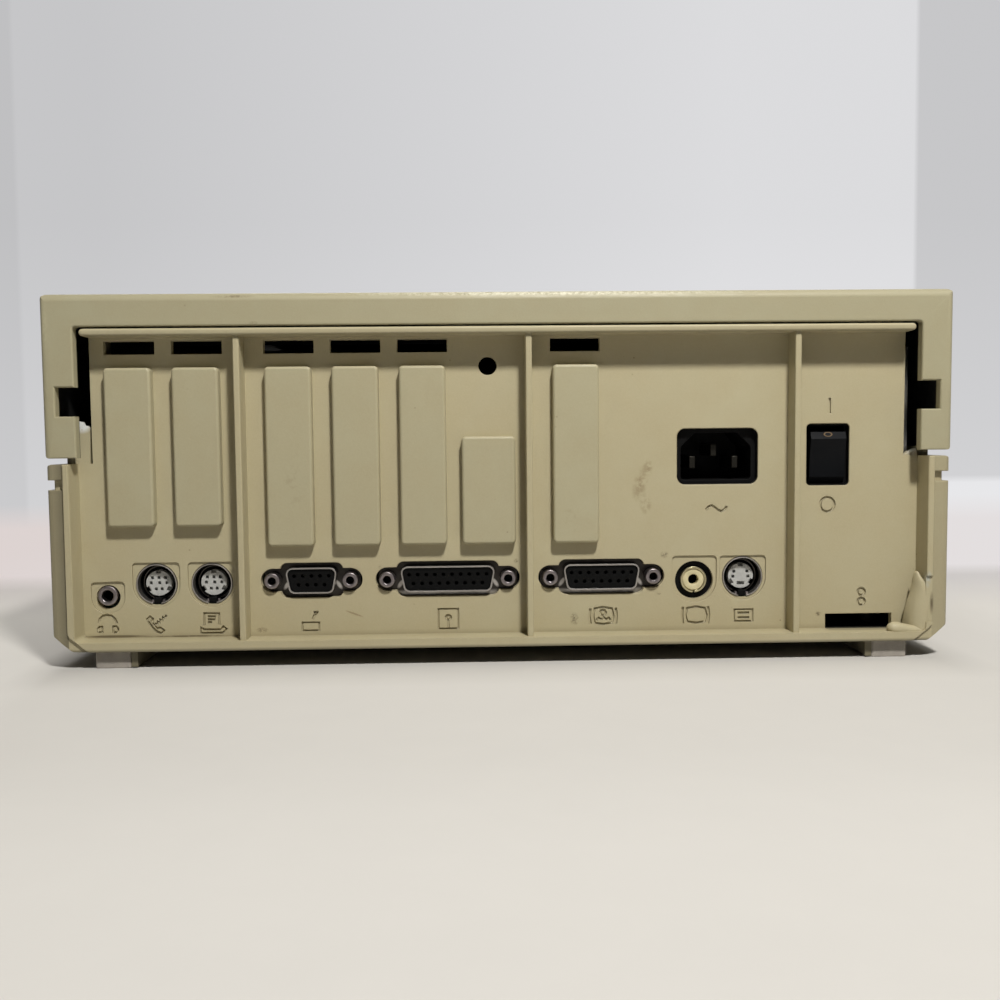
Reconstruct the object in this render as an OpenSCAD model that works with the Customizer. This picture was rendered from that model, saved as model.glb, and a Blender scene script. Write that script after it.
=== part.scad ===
// Desktop home computer: two-part moulded case, rear connector bay, expansion slots and power supply.
// Millimetres. X runs across the case (right as seen from behind), Y from the rear to the front, Z up.
// The origin is on the table, under the middle of the case.

/* [Case] */
// Overall width of the case
case_w = 284; // [280:1:300]
// Overall depth, rear frame to front panel
case_d = 348; // [340:1:370]
// Overall height, standing on its feet
case_h = 117; // [114:1:124]
// Height of the feet under the floor
foot_h = 5.6; // [4.5:0.1:8]
// Height of the base's rim above the table
rim_z = 64.6; // [63:0.1:66]
// Open seam between the rim and the top cover
seam = 1.9; // [1.5:0.1:2.5]
// Wall thickness of the mouldings
wall = 2.5; // [2.2:0.1:2.8]
// Radius of the upright front corners
front_r = 5; // [3:0.5:8]
// Radius of the upright rear corners
back_r = 2; // [1:0.1:3]
// Radius of the edges on both sides of the seam
seam_r = 1.6; // [0.5:0.1:2]
// Width of the slope along the lower side edges
slope_w = 6.5; // [4:0.5:8]
// Height of the slope along the lower side edges
slope_h = 5.3; // [4:0.1:7]
// Height of the styling groove round the base
groove_h = 3.1; // [2:0.1:4]
// Depth of the styling groove
groove_depth = 1.7; // [1:0.1:2]
// Height of the rim band above the groove
rim_band_h = 4.9; // [4:0.1:6]

/* [Rear bay] */
// Depth of the connector bay, rear frame to rear wall
bay_depth = 8.5; // [8:0.1:9.5]
// Gap between the bay's side and the outside of the case
bay_inset = 7.3; // [6.8:0.1:8]
// Width of the raised bead round the bay
bead_w = 2.1; // [1.5:0.1:2.5]
// Set-back of the side panels' rear faces behind the bead
panel_set = 0.8; // [0.5:0.1:2]
// Gap between the end of the tall rear wall and the outside of the case
wall_inset = 11.8; // [11.2:0.1:12.4]
// Height of the lip above the rear wall, at its top
lip_z = 106.3; // [105:0.1:107]
// Thickness of the lip above the rear wall
lip_t = 2.3; // [2:0.1:2.6]
// Thickness of the sill along the bottom of the bay
sill_t = 2.9; // [2.6:0.1:3.4]
// Thickness of the upright ribs
rib_t = 2; // [1.6:0.1:2.4]
// Set-back of the ribs behind the rear frame
rib_set = 1.2; // [0.6:0.1:2]

/* [Top cover] */
// Thickness of the rear frame of the cover
frame_t = 3.5; // [3:0.1:4]
// Width of the two rear columns
column_w = 10; // [9:0.1:11]
// Height of the rear opening's upper edge
opening_z = 106.9; // [106.7:0.1:108]
// Radius of the cover's upper edges
edge_r = 2.5; // [1.5:0.1:3.5]
// Width of the thumb notches in the columns
notch_w = 6; // [4.5:0.1:7]
// Height of the thumb notches
notch_h = 9; // [7:0.5:11]
// Lower edge of the thumb notches above the table
notch_z = 79.4; // [77:0.1:82]
// Length of the cooling slots in the top
vent_l = 24; // [16:1:30]
// Width of the cooling slots
vent_w = 3; // [2:0.1:4]
// Spacing of the cooling slots
vent_pitch = 7; // [6:0.5:9]
// Number of cooling slots in each row
vent_n = 16; // [8:1:20]
// Furthest that the cover tilts open
tilt_max = 60; // [30:5:70]

/* [Slot covers] */
// Width of the tall slot covers
cover_w = 14.7; // [13.5:0.1:15.5]
// Width of the short slot cover
short_w = 17.1; // [16:0.1:18]
// Upper edge of the tall covers
cover_top = 94.6; // [93:0.1:96]
// Lower edge of the two covers in the left bay
cover_low_left = 44.4; // [43:0.1:46]
// Lower edge of the other covers
cover_low = 37.7; // [37:0.1:40]
// Upper edge of the short cover
short_top = 72.1; // [68:0.1:76]
// How far the covers stand proud of the rear wall
cover_proud = 3.4; // [2.5:0.1:4]
// Corner radius of the covers
cover_r = 1.4; // [0.5:0.1:2]
// Width of the window above each tall cover
window_w = 15.8; // [14:0.1:16]
// Height of the window above each tall cover
window_h = 4.1; // [3:0.1:4.1]
// Travel of a cover as it is pulled out
cover_travel = 16; // [10:1:25]

/* [Mains inlet and switch] */
// Width of the inlet's cut-out
inlet_w = 26.1; // [25.5:0.1:26.5]
// Height of the inlet's cut-out
inlet_h = 17.9; // [17.5:0.1:18.5]
// Height of the inlet's centre
inlet_z = 64.9; // [64:0.1:66]
// Distance between the line and neutral blades
blade_gap = 14; // [13.8:0.1:14.2]
// Width of the switch's cut-out
switch_w = 13.8; // [13.5:0.1:14.5]
// Height of the switch's cut-out
switch_h = 19.8; // [19.4:0.1:20.4]
// Height of the switch's centre
switch_z = 65.1; // [64:0.1:66]
// Swing of the rocker from off to on
rocker_swing = 16; // [12:1:18]

/* [Ports] */
// Height of the D connectors' centre line
dsub_z = 26.4; // [26:0.1:27]
// Distance between the jack nuts of the 9-way connector
dsub9_gap = 24.99; // [24.8:0.01:25.2]
// Distance between the jack nuts of the 19-way connector
dsub19_gap = 38.96; // [38.8:0.01:39.2]
// Distance between the jack nuts of the 15-way connector
dsub15_gap = 33.32; // [33.1:0.01:33.5]
// Radius of the wall's holes for the round ports
round_port_r = 6.7; // [6.5:0.1:7]
// Radius of the wall's hole for the phono jack
phono_hole_r = 6.2; // [5.8:0.1:6.5]
// Outer radius of the phono jack's barrel
phono_r = 4.25; // [4:0.05:4.3]
// Radius of the wall's hole for the headphone jack
jack_hole_r = 3.8; // [3.5:0.1:4.2]
// Bore radius of the headphone jack
jack_bore_r = 1.8; // [1.76:0.01:1.84]
// Radius of the plain hole in the middle of the rear wall
wall_hole_r = 2.9; // [2:0.1:3.2]
// Width of the security slot
lock_w = 21.8; // [18:0.1:23]
// Height of the security slot
lock_h = 5.3; // [4.8:0.1:5.6]

/* [Power supply] */
// Width of the power supply
psu_w = 85.5; // [84:0.5:88]
// Length of the power supply, rear to front
psu_d = 200; // [180:1:220]
// Height of the power supply's floor above the table
psu_z = 38; // [36:0.5:40]
// Height of the power supply
psu_h = 62; // [58:0.5:64]
// Thickness of its sheet metal
sheet = 1; // [0.8:0.1:1.2]

/* [Logic board] */
// Height of the logic board's upper face
board_z = 18.8; // [18.5:0.1:19]
// Thickness of the logic board
board_t = 1.6; // [1.2:0.1:2]
// Reach of the board from its rear edge towards the front
board_d = 222; // [215:1:235]
// Length of the expansion connectors
slot_l = 76; // [70:1:78]
// Height of the expansion connectors above the board
slot_h = 11.5; // [9:0.5:13]
// Width of the expansion connectors
slot_w = 8.8; // [8:0.1:9.5]
// Width of the slit that takes a card
card_slit = 1.8; // [1.6:0.1:2]

/* [Feet] */
// Length of each foot
foot_l = 25; // [18:1:32]
// Width of each foot
foot_w = 11.5; // [10:0.5:13]

/* [Hidden] */
$fn = 48;
beige = [0.69, 0.66, 0.54];
black = [0.06, 0.06, 0.07];
steel = [0.62, 0.62, 0.6];
green = [0.16, 0.33, 0.2];
eps = 0.05;         // overlap where two solids of one moulding are fused
slack = 0.2;        // clearance of a part that drops into another
run_fit = 0.05;     // radial clearance of pins and screws
far = 400;          // longer than any cut needs

half_w = case_w / 2;
rear_y = -case_d / 2;
front_y = case_d / 2;
floor_z = foot_h + wall;
panel_y = rear_y + panel_set;
wall_y = rear_y + bay_depth;
inner_y = wall_y + wall;
bay_half = half_w - bay_inset;
bead_half = bay_half + bead_w;
tall_half = half_w - wall_inset;
lip_low = lip_z - lip_t;
sill_z = foot_h + sill_t;
band_in = 2 * wall;                      // thickness of the stiffened band under the rim
band_z = rim_z - rim_band_h - groove_h - 2 * wall;
tongue_gap = 0.3;
tongue_t = 2.2;
tongue_h = 2.9;
tongue_out = wall + tongue_gap;
cover_z0 = rim_z + seam;

// Stations across the rear wall, as shares of half the case's width. The third rib, the inlet, the
// switch and the security slot keep their distance from the right side, with the power supply.
cover_share = [-0.8289, -0.6796, -0.4754, -0.3268, -0.1775, -0.031, 0.1655];
cover_x = [for (share = cover_share) share * half_w];
cover_lo = [cover_low_left, cover_low_left, cover_low, cover_low, cover_low, cover_low, cover_low];
short_i = 5;
rib_in = 48.7;
inlet_in = 72.5;
switch_in = 36.6;
lock_in = 26;
rib_x = [-0.581 * half_w, 0.0592 * half_w, half_w - rib_in];
dsub9_x = -0.4345 * half_w;
dsub19_x = -0.1261 * half_w;
dsub15_x = 0.2239 * half_w;
jack_x = -0.8937 * half_w;
din_x = [-0.7845 * half_w, -0.6599 * half_w, 0.5486 * half_w];
phono_x = 0.4373 * half_w;
jack_up = 3.4;
din_up = 6.9;
phono_up = 6;
jack_z = board_z + jack_up;
din_z = board_z + din_up;
phono_z = board_z + phono_up;
inlet_x = half_w - inlet_in;
switch_x = half_w - switch_in;
lock_x = half_w - lock_in;
hole_z = cover_top - 0.1;
lock_z = sill_z - 0.7;

// Tilt axis of the top cover, inside the seam above the base's front wall
tilt_y = front_y - 1;
tilt_z = rim_z + seam / 2;
lug_r = 4.6;
hook_gap = 0.3;
hook_t = 2.5;
hook_w = 12;
hook_in = 52;
hook_x = half_w - hook_in;
hook_from = 100;
hook_to = 214;

// Power supply box
psu_side = 9;             // gap between the box and the outside of the case
psu_x1 = half_w - psu_side;
psu_x0 = psu_x1 - psu_w;
flange_t = 1.8;
psu_y0 = inner_y + flange_t;
psu_y1 = psu_y0 + psu_d;
post_r = 4;
post_in = 8;
post_front = 9;
post_back = 12;
post_mid = 66;            // the left rear post stands in front of the board's wing
post_xy = [[psu_x0 + post_in, psu_y0 + post_mid], [psu_x0 + post_in, psu_y1 - post_front],
    [psu_x1 - post_in, psu_y0 + post_back], [psu_x1 - post_in, psu_y1 - post_front]];
psu_screw_r = 1.6;

// Logic board, an L with a wing under the power supply
board_side = 9.5;         // gap between the board and the outside of the case
board_gap = 3;            // gap between the board and the power supply
wing_side = 50;
wing_d = 46;
board_back = 1.2;
board_x0 = board_side - half_w;
board_x1 = psu_x0 - board_gap;
board_mid = (board_x0 + board_x1) / 2;
wing_x1 = half_w - wing_side;
board_y0 = inner_y + board_back;
board_y1 = board_y0 + board_d;
wing_y = board_y0 + wing_d;
board_low = board_z - board_t;
slot_back = 20;
slot_y0 = board_y0 + slot_back;
peg_in = 6;
peg_front = 7;
peg_r = 3.6;
peg_screw_r = 1.45;
board_hole_r = 1.7;
peg_past = 4;             // the middle pegs stand just in front of the card connectors
peg_xy = [[board_x0 + peg_in - 1, slot_y0 + slot_l + peg_past], [board_x0 + peg_in, board_y1 - peg_front],
    [board_x1 - peg_front, board_y1 - peg_front], [board_x1 - peg_in, slot_y0 + slot_l + peg_past],
    [wing_x1 - peg_in, wing_y - peg_in], [board_mid, board_y1 - peg_front]];

// ---- shared drawing helpers -------------------------------------------------------------------

function unit(v) = v / norm(v);

// The corner at b between a and c, replaced by an arc of radius r in n steps
function soft_corner(a, b, c, r, n) =
    let (u = unit(a - b), v = unit(c - b), half = acos(u * v) / 2, reach = r / tan(half),
        middle = b + unit(u + v) * (r / sin(half)), p = b + u * reach, q = b + v * reach,
        start = atan2(p[1] - middle[1], p[0] - middle[0]),
        stop = atan2(q[1] - middle[1], q[0] - middle[0]),
        turn = (stop - start + 540) % 360 - 180)
    [for (i = [0:n]) middle + r * [cos(start + turn * i / n), sin(start + turn * i / n)]];

// A closed outline whose corners are rounded by the radii in r
function soften(pts, r, n = 4) =
    let (k = len(pts))
    [for (i = [0:k - 1]) each (r[i] == 0 ? [pts[i]]
        : soft_corner(pts[(i + k - 1) % k], pts[i], pts[(i + 1) % k], r[i], n))];

// A drawing in X and Z, extruded from y0 to y1
module along_y(y0, y1) {
    translate([0, y1, 0]) rotate([90, 0, 0]) linear_extrude(y1 - y0) children();
}

// A drawing in Y and Z, extruded from x0 to x1
module along_x(x0, x1) {
    translate([x0, 0, 0]) rotate([90, 0, 90]) linear_extrude(x1 - x0) children();
}

// A drawing in X and Y, extruded from z0 to z1
module along_z(z0, z1) {
    translate([0, 0, z0]) linear_extrude(z1 - z0) children();
}

module round_rect(w, h, r) {
    square([w - 2 * r, h], center = true);
    square([w, h - 2 * r], center = true);
    for (sx = [-1, 1], sy = [-1, 1]) translate([sx * (w / 2 - r), sy * (h / 2 - r)]) circle(r = r);
}

// A slot with round ends, w long over all and h wide
module capsule(w, h) {
    square([w - h, h], center = true);
    for (s = [-1, 1]) translate([s * (w - h) / 2, 0]) circle(r = h / 2);
}

module block(x, y, z) {
    translate([x[0], y[0], z[0]]) cube([x[1] - x[0], y[1] - y[0], z[1] - z[0]]);
}

// A round bar along Y
module bar_y(x, z, y0, y1, r) {
    translate([x, y1, z]) rotate([90, 0, 0]) cylinder(r = r, h = y1 - y0);
}

module both_sides() {
    children();
    mirror([1, 0, 0]) children();
}

// ---- case ---------------------------------------------------------------------------------------

foot_in = 24;
foot_back = 2.5;
foot_rib = 2;
foot_x = half_w - foot_in;
foot_y = [rear_y + foot_back, front_y - foot_back - foot_l];

// Plan of the case, drawn in by inset on every side; back is the y of its rear edge
module case_plan(inset, back) {
    hw = half_w - inset;
    polygon(soften([[-hw, back], [hw, back], [hw, front_y - inset], [-hw, front_y - inset]],
        [max(back_r - inset, 1), max(back_r - inset, 1), max(front_r - inset, 1), max(front_r - inset, 1)]));
}

// Section of the base across the case, with its sloped lower edges and its upper corners rounded by r
module base_section(hw, low, high, r = 0) {
    polygon(soften([[-hw, low + slope_h], [-hw + slope_w, low], [hw - slope_w, low],
        [hw, low + slope_h], [hw, high], [-hw, high]], [2.5, 2.5, 2.5, 2.5, r, r], 3));
}

module base_outer() {
    intersection() {
        along_z(foot_h - 1, rim_z) case_plan(0, panel_y);
        along_y(rear_y, front_y) base_section(half_w, foot_h, rim_z, seam_r);
    }
    intersection() {
        along_z(rim_z - 1, rim_z + tongue_h) case_plan(tongue_out, rear_y);
        block([-far, far], [inner_y, far], [0, far]);
    }
    along_y(rear_y, panel_y + eps) base_section(bead_half, foot_h, rim_z);
}

// The room inside the base: a wide lower part and a narrower one within the stiffened band
module base_room() {
    intersection() {
        along_z(floor_z, band_z) case_plan(wall, inner_y);
        along_y(inner_y, front_y) base_section(half_w - wall, floor_z, rim_z);
    }
    along_z(band_z - eps, rim_z + far) case_plan(band_in, inner_y);
    both_sides()
        block([bead_half, half_w - wall], [panel_y + wall, inner_y + eps], [floor_z + slope_h, band_z]);
}

// The recess at the rear, above the sill
module bay_room() {
    along_y(rear_y - 1, wall_y)
        polygon(soften([[-bay_half, far], [-bay_half, sill_z], [bay_half, sill_z], [bay_half, far]],
            [0, 1.5, 1.5, 0]));
}

module groove() {
    z0 = rim_z - rim_band_h - groove_h;
    difference() {
        along_z(z0, z0 + groove_h) translate([-half_w - 1, panel_y - 1]) square([case_w + 2, case_d]);
        along_z(z0 - 1, z0 + groove_h + 1) case_plan(groove_depth, panel_y + groove_depth);
        block([-bead_half, bead_half], [rear_y - 1, panel_y + wall], [z0 - 1, z0 + groove_h + 1]);
    }
}

module rear_wall() {
    block([-tall_half, tall_half], [wall_y, inner_y], [floor_z, lip_z - eps]);
    along_y(rear_y, inner_y)
        translate([0, lip_low + lip_t / 2]) capsule(2 * tall_half, lip_t);
    for (x = rib_x)
        block([x - rib_t / 2, x + rib_t / 2], [rear_y + rib_set, wall_y + eps], [sill_z - eps, lip_low + eps]);
    block([-tall_half, wall - tall_half], [inner_y - eps, inner_y + 4 * wall], [rim_z - 2 * wall, lip_low]);
}

// Outline of a D connector's cut-out: the shell's window and the two round ears
module dsub_window(gap, body_w) {
    round_rect(body_w, dsub_cut_h, 2.2);
    capsule(gap + 2 * ear_r, 2 * ear_r);
}

dsub_cut_h = 11.2;
ear_r = 3.75;
function dsub_cut_w(gap) = gap - 4.9;

// Shallow pocket round a round port: half round below, square above up to rise over its centre
module port_pocket(w, rise) {
    intersection() {
        union() {
            circle(r = w / 2);
            translate([-w / 2, 0]) square([w, rise]);
        }
        polygon(soften([[-w / 2, -w / 2], [w / 2, -w / 2], [w / 2, rise], [-w / 2, rise]], [0, 0, 1.2, 1.2]));
    }
}

pocket_depth = 0.6;
din_pocket_w = 15;
din_pocket_rise = 6.9;
phono_pocket_w = 14.4;
phono_pocket_rise = 7.9;
jack_pocket_w = 10.7;
jack_pocket_rise = 4.8;
jack_drop = 0.4;     // the hole for the headphone jack stands a little low
card_edge = 4.9;     // how much narrower a cover's window is than the cover

function cover_width(i) = i == short_i ? short_w : cover_w;
function cover_high(i) = i == short_i ? short_top : cover_top;
function cover_mid(i) = (cover_high(i) + cover_lo[i]) / 2;

module cover_window(i, gap) {
    translate([cover_x[i], cover_mid(i)])
        round_rect(cover_width(i) - card_edge + 2 * gap, cover_high(i) - cover_lo[i] - card_edge + 2 * gap,
            cover_r + gap);
}

module wall_openings() {
    along_y(wall_y - 1, inner_y + 1) {
        for (i = [0:len(cover_x) - 1]) {
            cover_window(i, slack);
            if (i != short_i)
                translate([cover_x[i], lip_low - 0.9 - window_h / 2])
                    square([window_w, window_h], center = true);
        }
        translate([dsub9_x, dsub_z]) dsub_window(dsub9_gap, dsub_cut_w(dsub9_gap));
        translate([dsub19_x, dsub_z]) dsub_window(dsub19_gap, dsub_cut_w(dsub19_gap) - 1.2);
        translate([dsub15_x, dsub_z]) dsub_window(dsub15_gap, dsub_cut_w(dsub15_gap) - 0.8);
        translate([inlet_x, inlet_z]) round_rect(inlet_w, inlet_h, 2.6);
        translate([switch_x, switch_z]) round_rect(switch_w, switch_h, 1.3);
    }
    for (x = din_x) bar_y(x, din_z, wall_y - 1, inner_y + 1, round_port_r);
    bar_y(phono_x, phono_z, wall_y - 1, inner_y + 1, phono_hole_r);
    bar_y(jack_x, jack_z - jack_drop, wall_y - 1, inner_y + 1, jack_hole_r);
    bar_y(cover_x[short_i], hole_z, wall_y - 1, inner_y + 1, wall_hole_r);
    along_y(wall_y - 4, inner_y + 1)
        translate([lock_x, lock_z + lock_h / 2]) square([lock_w, lock_h], center = true);
    along_y(wall_y - 1, wall_y + pocket_depth) {
        for (x = din_x) translate([x, din_z]) port_pocket(din_pocket_w, din_pocket_rise);
        translate([phono_x, phono_z]) port_pocket(phono_pocket_w, phono_pocket_rise);
        translate([jack_x, jack_z - jack_drop]) port_pocket(jack_pocket_w, jack_pocket_rise);
    }
}

// Round lug under the front edge, which a hook of the top cover wraps
module hinge_lug() {
    intersection() {
        along_x(-hook_w / 2 - 1, hook_w / 2 + 1) {
            translate([tilt_y, tilt_z]) circle(r = lug_r);
            translate([tilt_y - lug_r, rim_z - rim_band_h]) square([lug_r, tilt_z - rim_z + rim_band_h]);
        }
        block([-far, far], [0, front_y - tongue_out], [0, far]);
    }
}

// Room in the rim for a hook and for its swing
module hook_room() {
    along_x(-hook_w / 2 - 0.4, hook_w / 2 + 0.4) translate([tilt_y, tilt_z]) intersection() {
        difference() {
            circle(r = lug_r + 2 * hook_gap + hook_t);
            circle(r = lug_r);
        }
        polygon([[0, 0], 20 * [cos(150), sin(150)], [-20, 0], 20 * [cos(hook_to + 6), sin(hook_to + 6)]]);
    }
}

floor_vent_l = 32;
floor_vent_w = 3;
floor_vent_in = 95;
floor_vent_step = 44;
floor_vent_pitch = 8;
floor_vent_back = 84;

module floor_vents() {
    for (row = [0:1], i = [0:11])
        translate([half_w - floor_vent_in + floor_vent_step * row,
            rear_y + floor_vent_back + floor_vent_pitch * i, foot_h - 1])
            linear_extrude(wall + 2) capsule(floor_vent_l, floor_vent_w);
}

speaker_in = 46;
speaker_back = 42;
speaker_r = 28.5;
speaker_x = speaker_in - half_w;
speaker_y = front_y - speaker_back;
sound_hole_r = 2;
sound_ring_r = 12;

module speaker_seat() {
    translate([speaker_x, speaker_y, floor_z - eps]) difference() {
        cylinder(r = speaker_r + 3, h = 8 + eps);
        translate([0, 0, -1]) cylinder(r = speaker_r - 3, h = 10);
        translate([0, 0, 5 + eps]) cylinder(r = speaker_r + slack, h = 10);
    }
}

// What is left of the two snapped latch fingers on the rim
module latch_stumps() {
    along_y(wall_y + 0.6, wall_y + 2.9) {
        polygon([[-tall_half - 5.8, rim_z - eps], [-tall_half - 1, rim_z - eps],
            [-tall_half - 0.8, rim_z + 11.3], [-tall_half - 1.8, rim_z + 12],
            [-tall_half - 2.6, rim_z + 11.7], [-tall_half - 3.3, rim_z + 13.2],
            [-tall_half - 5.6, rim_z + 13.7]]);
        polygon([[tall_half + 0.4, rim_z - eps], [tall_half + 4.7, rim_z - eps],
            [tall_half + 4.2, rim_z + 2.4], [tall_half + 1.9, rim_z + 1.3]]);
    }
}

lamp_in = 24;
lamp_up = 14;
lamp_x = lamp_in - half_w;
lamp_z = foot_h + lamp_up;
lamp_w = 8;
lamp_h = 3;

module base_case() color(beige) {
    difference() {
        union() {
            difference() {
                base_outer();
                base_room();
                bay_room();
                groove();
            }
            rear_wall();
            latch_stumps();
            speaker_seat();
            for (s = [-1, 1]) translate([s * hook_x, 0, 0]) hinge_lug();
            for (p = peg_xy) translate([p[0], p[1], floor_z - eps])
                cylinder(r = peg_r, h = board_low - floor_z + eps);
            for (p = post_xy) translate([p[0], p[1], floor_z - eps])
                cylinder(r = post_r, h = psu_z - floor_z + eps);
            both_sides() for (y = foot_y)
                block([foot_x - foot_rib, foot_x], [y, y + foot_l], [0.4, foot_h + eps]);
        }
        wall_openings();
        floor_vents();
        for (s = [-1, 1]) translate([s * hook_x, 0, 0]) hook_room();
        for (p = peg_xy) translate([p[0], p[1], floor_z]) cylinder(r = peg_screw_r + run_fit, h = far);
        for (p = post_xy) translate([p[0], p[1], floor_z + 10]) cylinder(r = psu_screw_r + run_fit, h = far);
        for (a = [0:45:315]) translate([speaker_x, speaker_y, 0]) rotate([0, 0, a])
            translate([sound_ring_r, 0, 0]) cylinder(r = sound_hole_r, h = floor_z + 1);
        translate([lamp_x, front_y - wall - band_in, lamp_z]) rotate([-90, 0, 0])
            linear_extrude(far) square([lamp_w + 2 * slack, lamp_h + 2 * slack], center = true);
    }
}

// ---- top cover ----------------------------------------------------------------------------------

// Body of the cover, drawn in by inset, with its upper edges rounded by r and its lower ones by low_r
module cover_body(inset, back, low, r, low_r = 0) {
    hw = half_w - inset;
    high = case_h - inset;
    intersection() {
        along_z(low, high) case_plan(inset, back);
        along_y(back - 1, front_y) polygon(soften([[-hw, low], [hw, low], [hw, high], [-hw, high]],
            [low_r, low_r, r, r]));
        along_x(-half_w, half_w) polygon(soften([[back, low], [front_y - inset, low],
            [front_y - inset, high], [back, high]], [0, low_r, r, r]));
    }
}

module rear_opening() {
    hw = half_w - column_w;
    along_y(rear_y - 1, rear_y + frame_t + 1) {
        polygon(soften([[-hw, 0], [hw, 0], [hw, opening_z], [-hw, opening_z]], [0, 0, 1, 1]));
        translate([-hw - notch_w, notch_z]) square([2 * (hw + notch_w), notch_h]);
    }
}

vent_in = 30;
vent_back = 40;           // how far the rows stand behind the middle of the case

module top_vents() {
    y0 = -vent_pitch * (vent_n - 1) / 2 - vent_back;
    both_sides() for (i = [0:vent_n - 1])
        translate([half_w - vent_in, y0 + vent_pitch * i, case_h - wall - 1]) linear_extrude(wall + 2)
            capsule(vent_l, vent_w);
}

// Arc that wraps a lug of the base about the tilt axis
module hinge_hook() {
    r0 = lug_r + hook_gap;
    along_x(-hook_w / 2, hook_w / 2) translate([tilt_y, tilt_z]) intersection() {
        difference() {
            circle(r = r0 + hook_t);
            circle(r = r0);
        }
        polygon([[0, 0], for (i = [0:6]) 20 * [cos(hook_from + i * (hook_to - hook_from) / 6),
            sin(hook_from + i * (hook_to - hook_from) / 6)]]);
    }
}

stiffener_h = 6;
stiffener_t = 1.8;
stiffener_step = 90;
rest_end = 44;            // from the ends of the case to the outer rests
rest_mid = 20;
rest_t = 3;
rest_h = 12;

module top_cover() color(beige) {
    rest_z = rim_z + tongue_h;
    difference() {
        cover_body(0, rear_y, cover_z0, edge_r, seam_r);
        cover_body(wall, rear_y + frame_t, cover_z0 - 1, max(edge_r - 1.5, 0.5));
        rear_opening();
        top_vents();
    }
    for (y = [-stiffener_step, 0, stiffener_step])
        block([wall / 2 - half_w, half_w - wall / 2], [y, y + stiffener_t],
            [case_h - wall - stiffener_h, case_h - wall / 2]);
    both_sides() for (y = [rear_y + rest_end, -rest_mid, front_y - rest_end])
        block([half_w - band_in, half_w - wall + eps], [y, y + rest_t], [rest_z, rest_z + rest_h]);
    for (s = [-1, 1]) translate([s * hook_x, 0, 0]) hinge_hook();
}

// ---- slot covers --------------------------------------------------------------------------------

// A blanking cover: a rounded pad outside the wall and a hollow plug that fills the wall's window
module slot_cover(i) color(beige) {
    difference() {
        union() {
            along_y(wall_y - cover_proud, wall_y) translate([cover_x[i], cover_mid(i)])
                round_rect(cover_width(i), cover_high(i) - cover_lo[i], cover_r);
            along_y(wall_y - eps, inner_y + 1) cover_window(i, 0);
        }
        along_y(wall_y - cover_proud + 1.6, inner_y + 2) translate([cover_x[i], cover_mid(i)])
            round_rect(cover_width(i) - card_edge - 3, cover_high(i) - cover_lo[i] - card_edge - 3, 0.6);
    }
}

module slot_cover_1() slot_cover(0);
module slot_cover_2() slot_cover(1);
module slot_cover_3() slot_cover(2);
module slot_cover_4() slot_cover(3);
module slot_cover_5() slot_cover(4);
module slot_cover_6() slot_cover(5);
module slot_cover_7() slot_cover(6);

// ---- mains switch and inlet ---------------------------------------------------------------------

rocker_w = 11.4;
rocker_face = 6.2;        // half the length of the rocker's hollow face
rocker_half = 8.3;        // half its length over the slopes at both ends
rocker_out = 7.6;         // distance from its axle to the ends of the hollow face
rocker_drop = 1.3;        // fall of the slopes towards its ends
rocker_dip = 0.6;         // depth of the hollow
axle_in = 5;
axle_y = inner_y + axle_in;
axle_r = 1.2;
switch_wall = 0.9;
pit_w = rocker_w + 0.6;
pit_h = 2 * rocker_half + 2;
switch_depth = 17;

// The rocker rests in its off position, with its upper end standing out
module power_rocker() color(black)
    translate([switch_x, axle_y, switch_z]) rotate([rocker_swing / 2, 0, 0]) {
        along_x(-rocker_w / 2, rocker_w / 2)
            polygon([[rocker_drop - rocker_out, rocker_half],
                for (t = [1:-0.25:-1]) [rocker_dip * (1 - t * t) - rocker_out, rocker_face * t],
                [rocker_drop - rocker_out, -rocker_half],
                [-1, 1 - rocker_half], [1.2, -2], [1.2, 2], [-1, rocker_half - 1]]);
        translate([-pit_w / 2 - switch_wall + run_fit, 0, 0]) rotate([0, 90, 0])
            cylinder(r = axle_r, h = pit_w + 2 * (switch_wall - run_fit));
    }

module switch_body() color(black) translate([switch_x, 0, switch_z]) difference() {
    union() {
        along_y(inner_y, psu_y0) round_rect(switch_w + 3.4, switch_h + 3.2, 1.5);
        along_y(psu_y0 - eps, inner_y + switch_depth)
            square([pit_w + 2 * switch_wall, pit_h + 2 * switch_wall], center = true);
    }
    along_y(inner_y - 1, axle_y + 3) square([pit_w, pit_h], center = true);
    translate([-far / 2, axle_y, 0]) rotate([0, 90, 0]) cylinder(r = axle_r + run_fit, h = far);
    for (k = [-1:1]) translate([0, 0, k * terminal_step]) along_y(axle_y, far)
        square([terminal_w, terminal_t], center = true);
}

terminal_w = 4.8;
terminal_t = 0.8;
terminal_step = 6;
terminal_out = 8;

module switch_terminals() color([0.72, 0.62, 0.3]) for (k = [-1:1])
    translate([switch_x, 0, switch_z + k * terminal_step])
        along_y(axle_y + 3.5, inner_y + switch_depth + terminal_out)
            square([terminal_w, terminal_t], center = true);

inlet_pit_w = 22.8;
inlet_pit_h = 15.2;
inlet_depth = 21;
blade_w = 2;
blade_h = 4;
blade_drop = 2;
inlet_slope = 4.5;
blade_xz = [[-blade_gap / 2, -blade_drop], [blade_gap / 2, -blade_drop], [0, blade_drop]];

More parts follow.
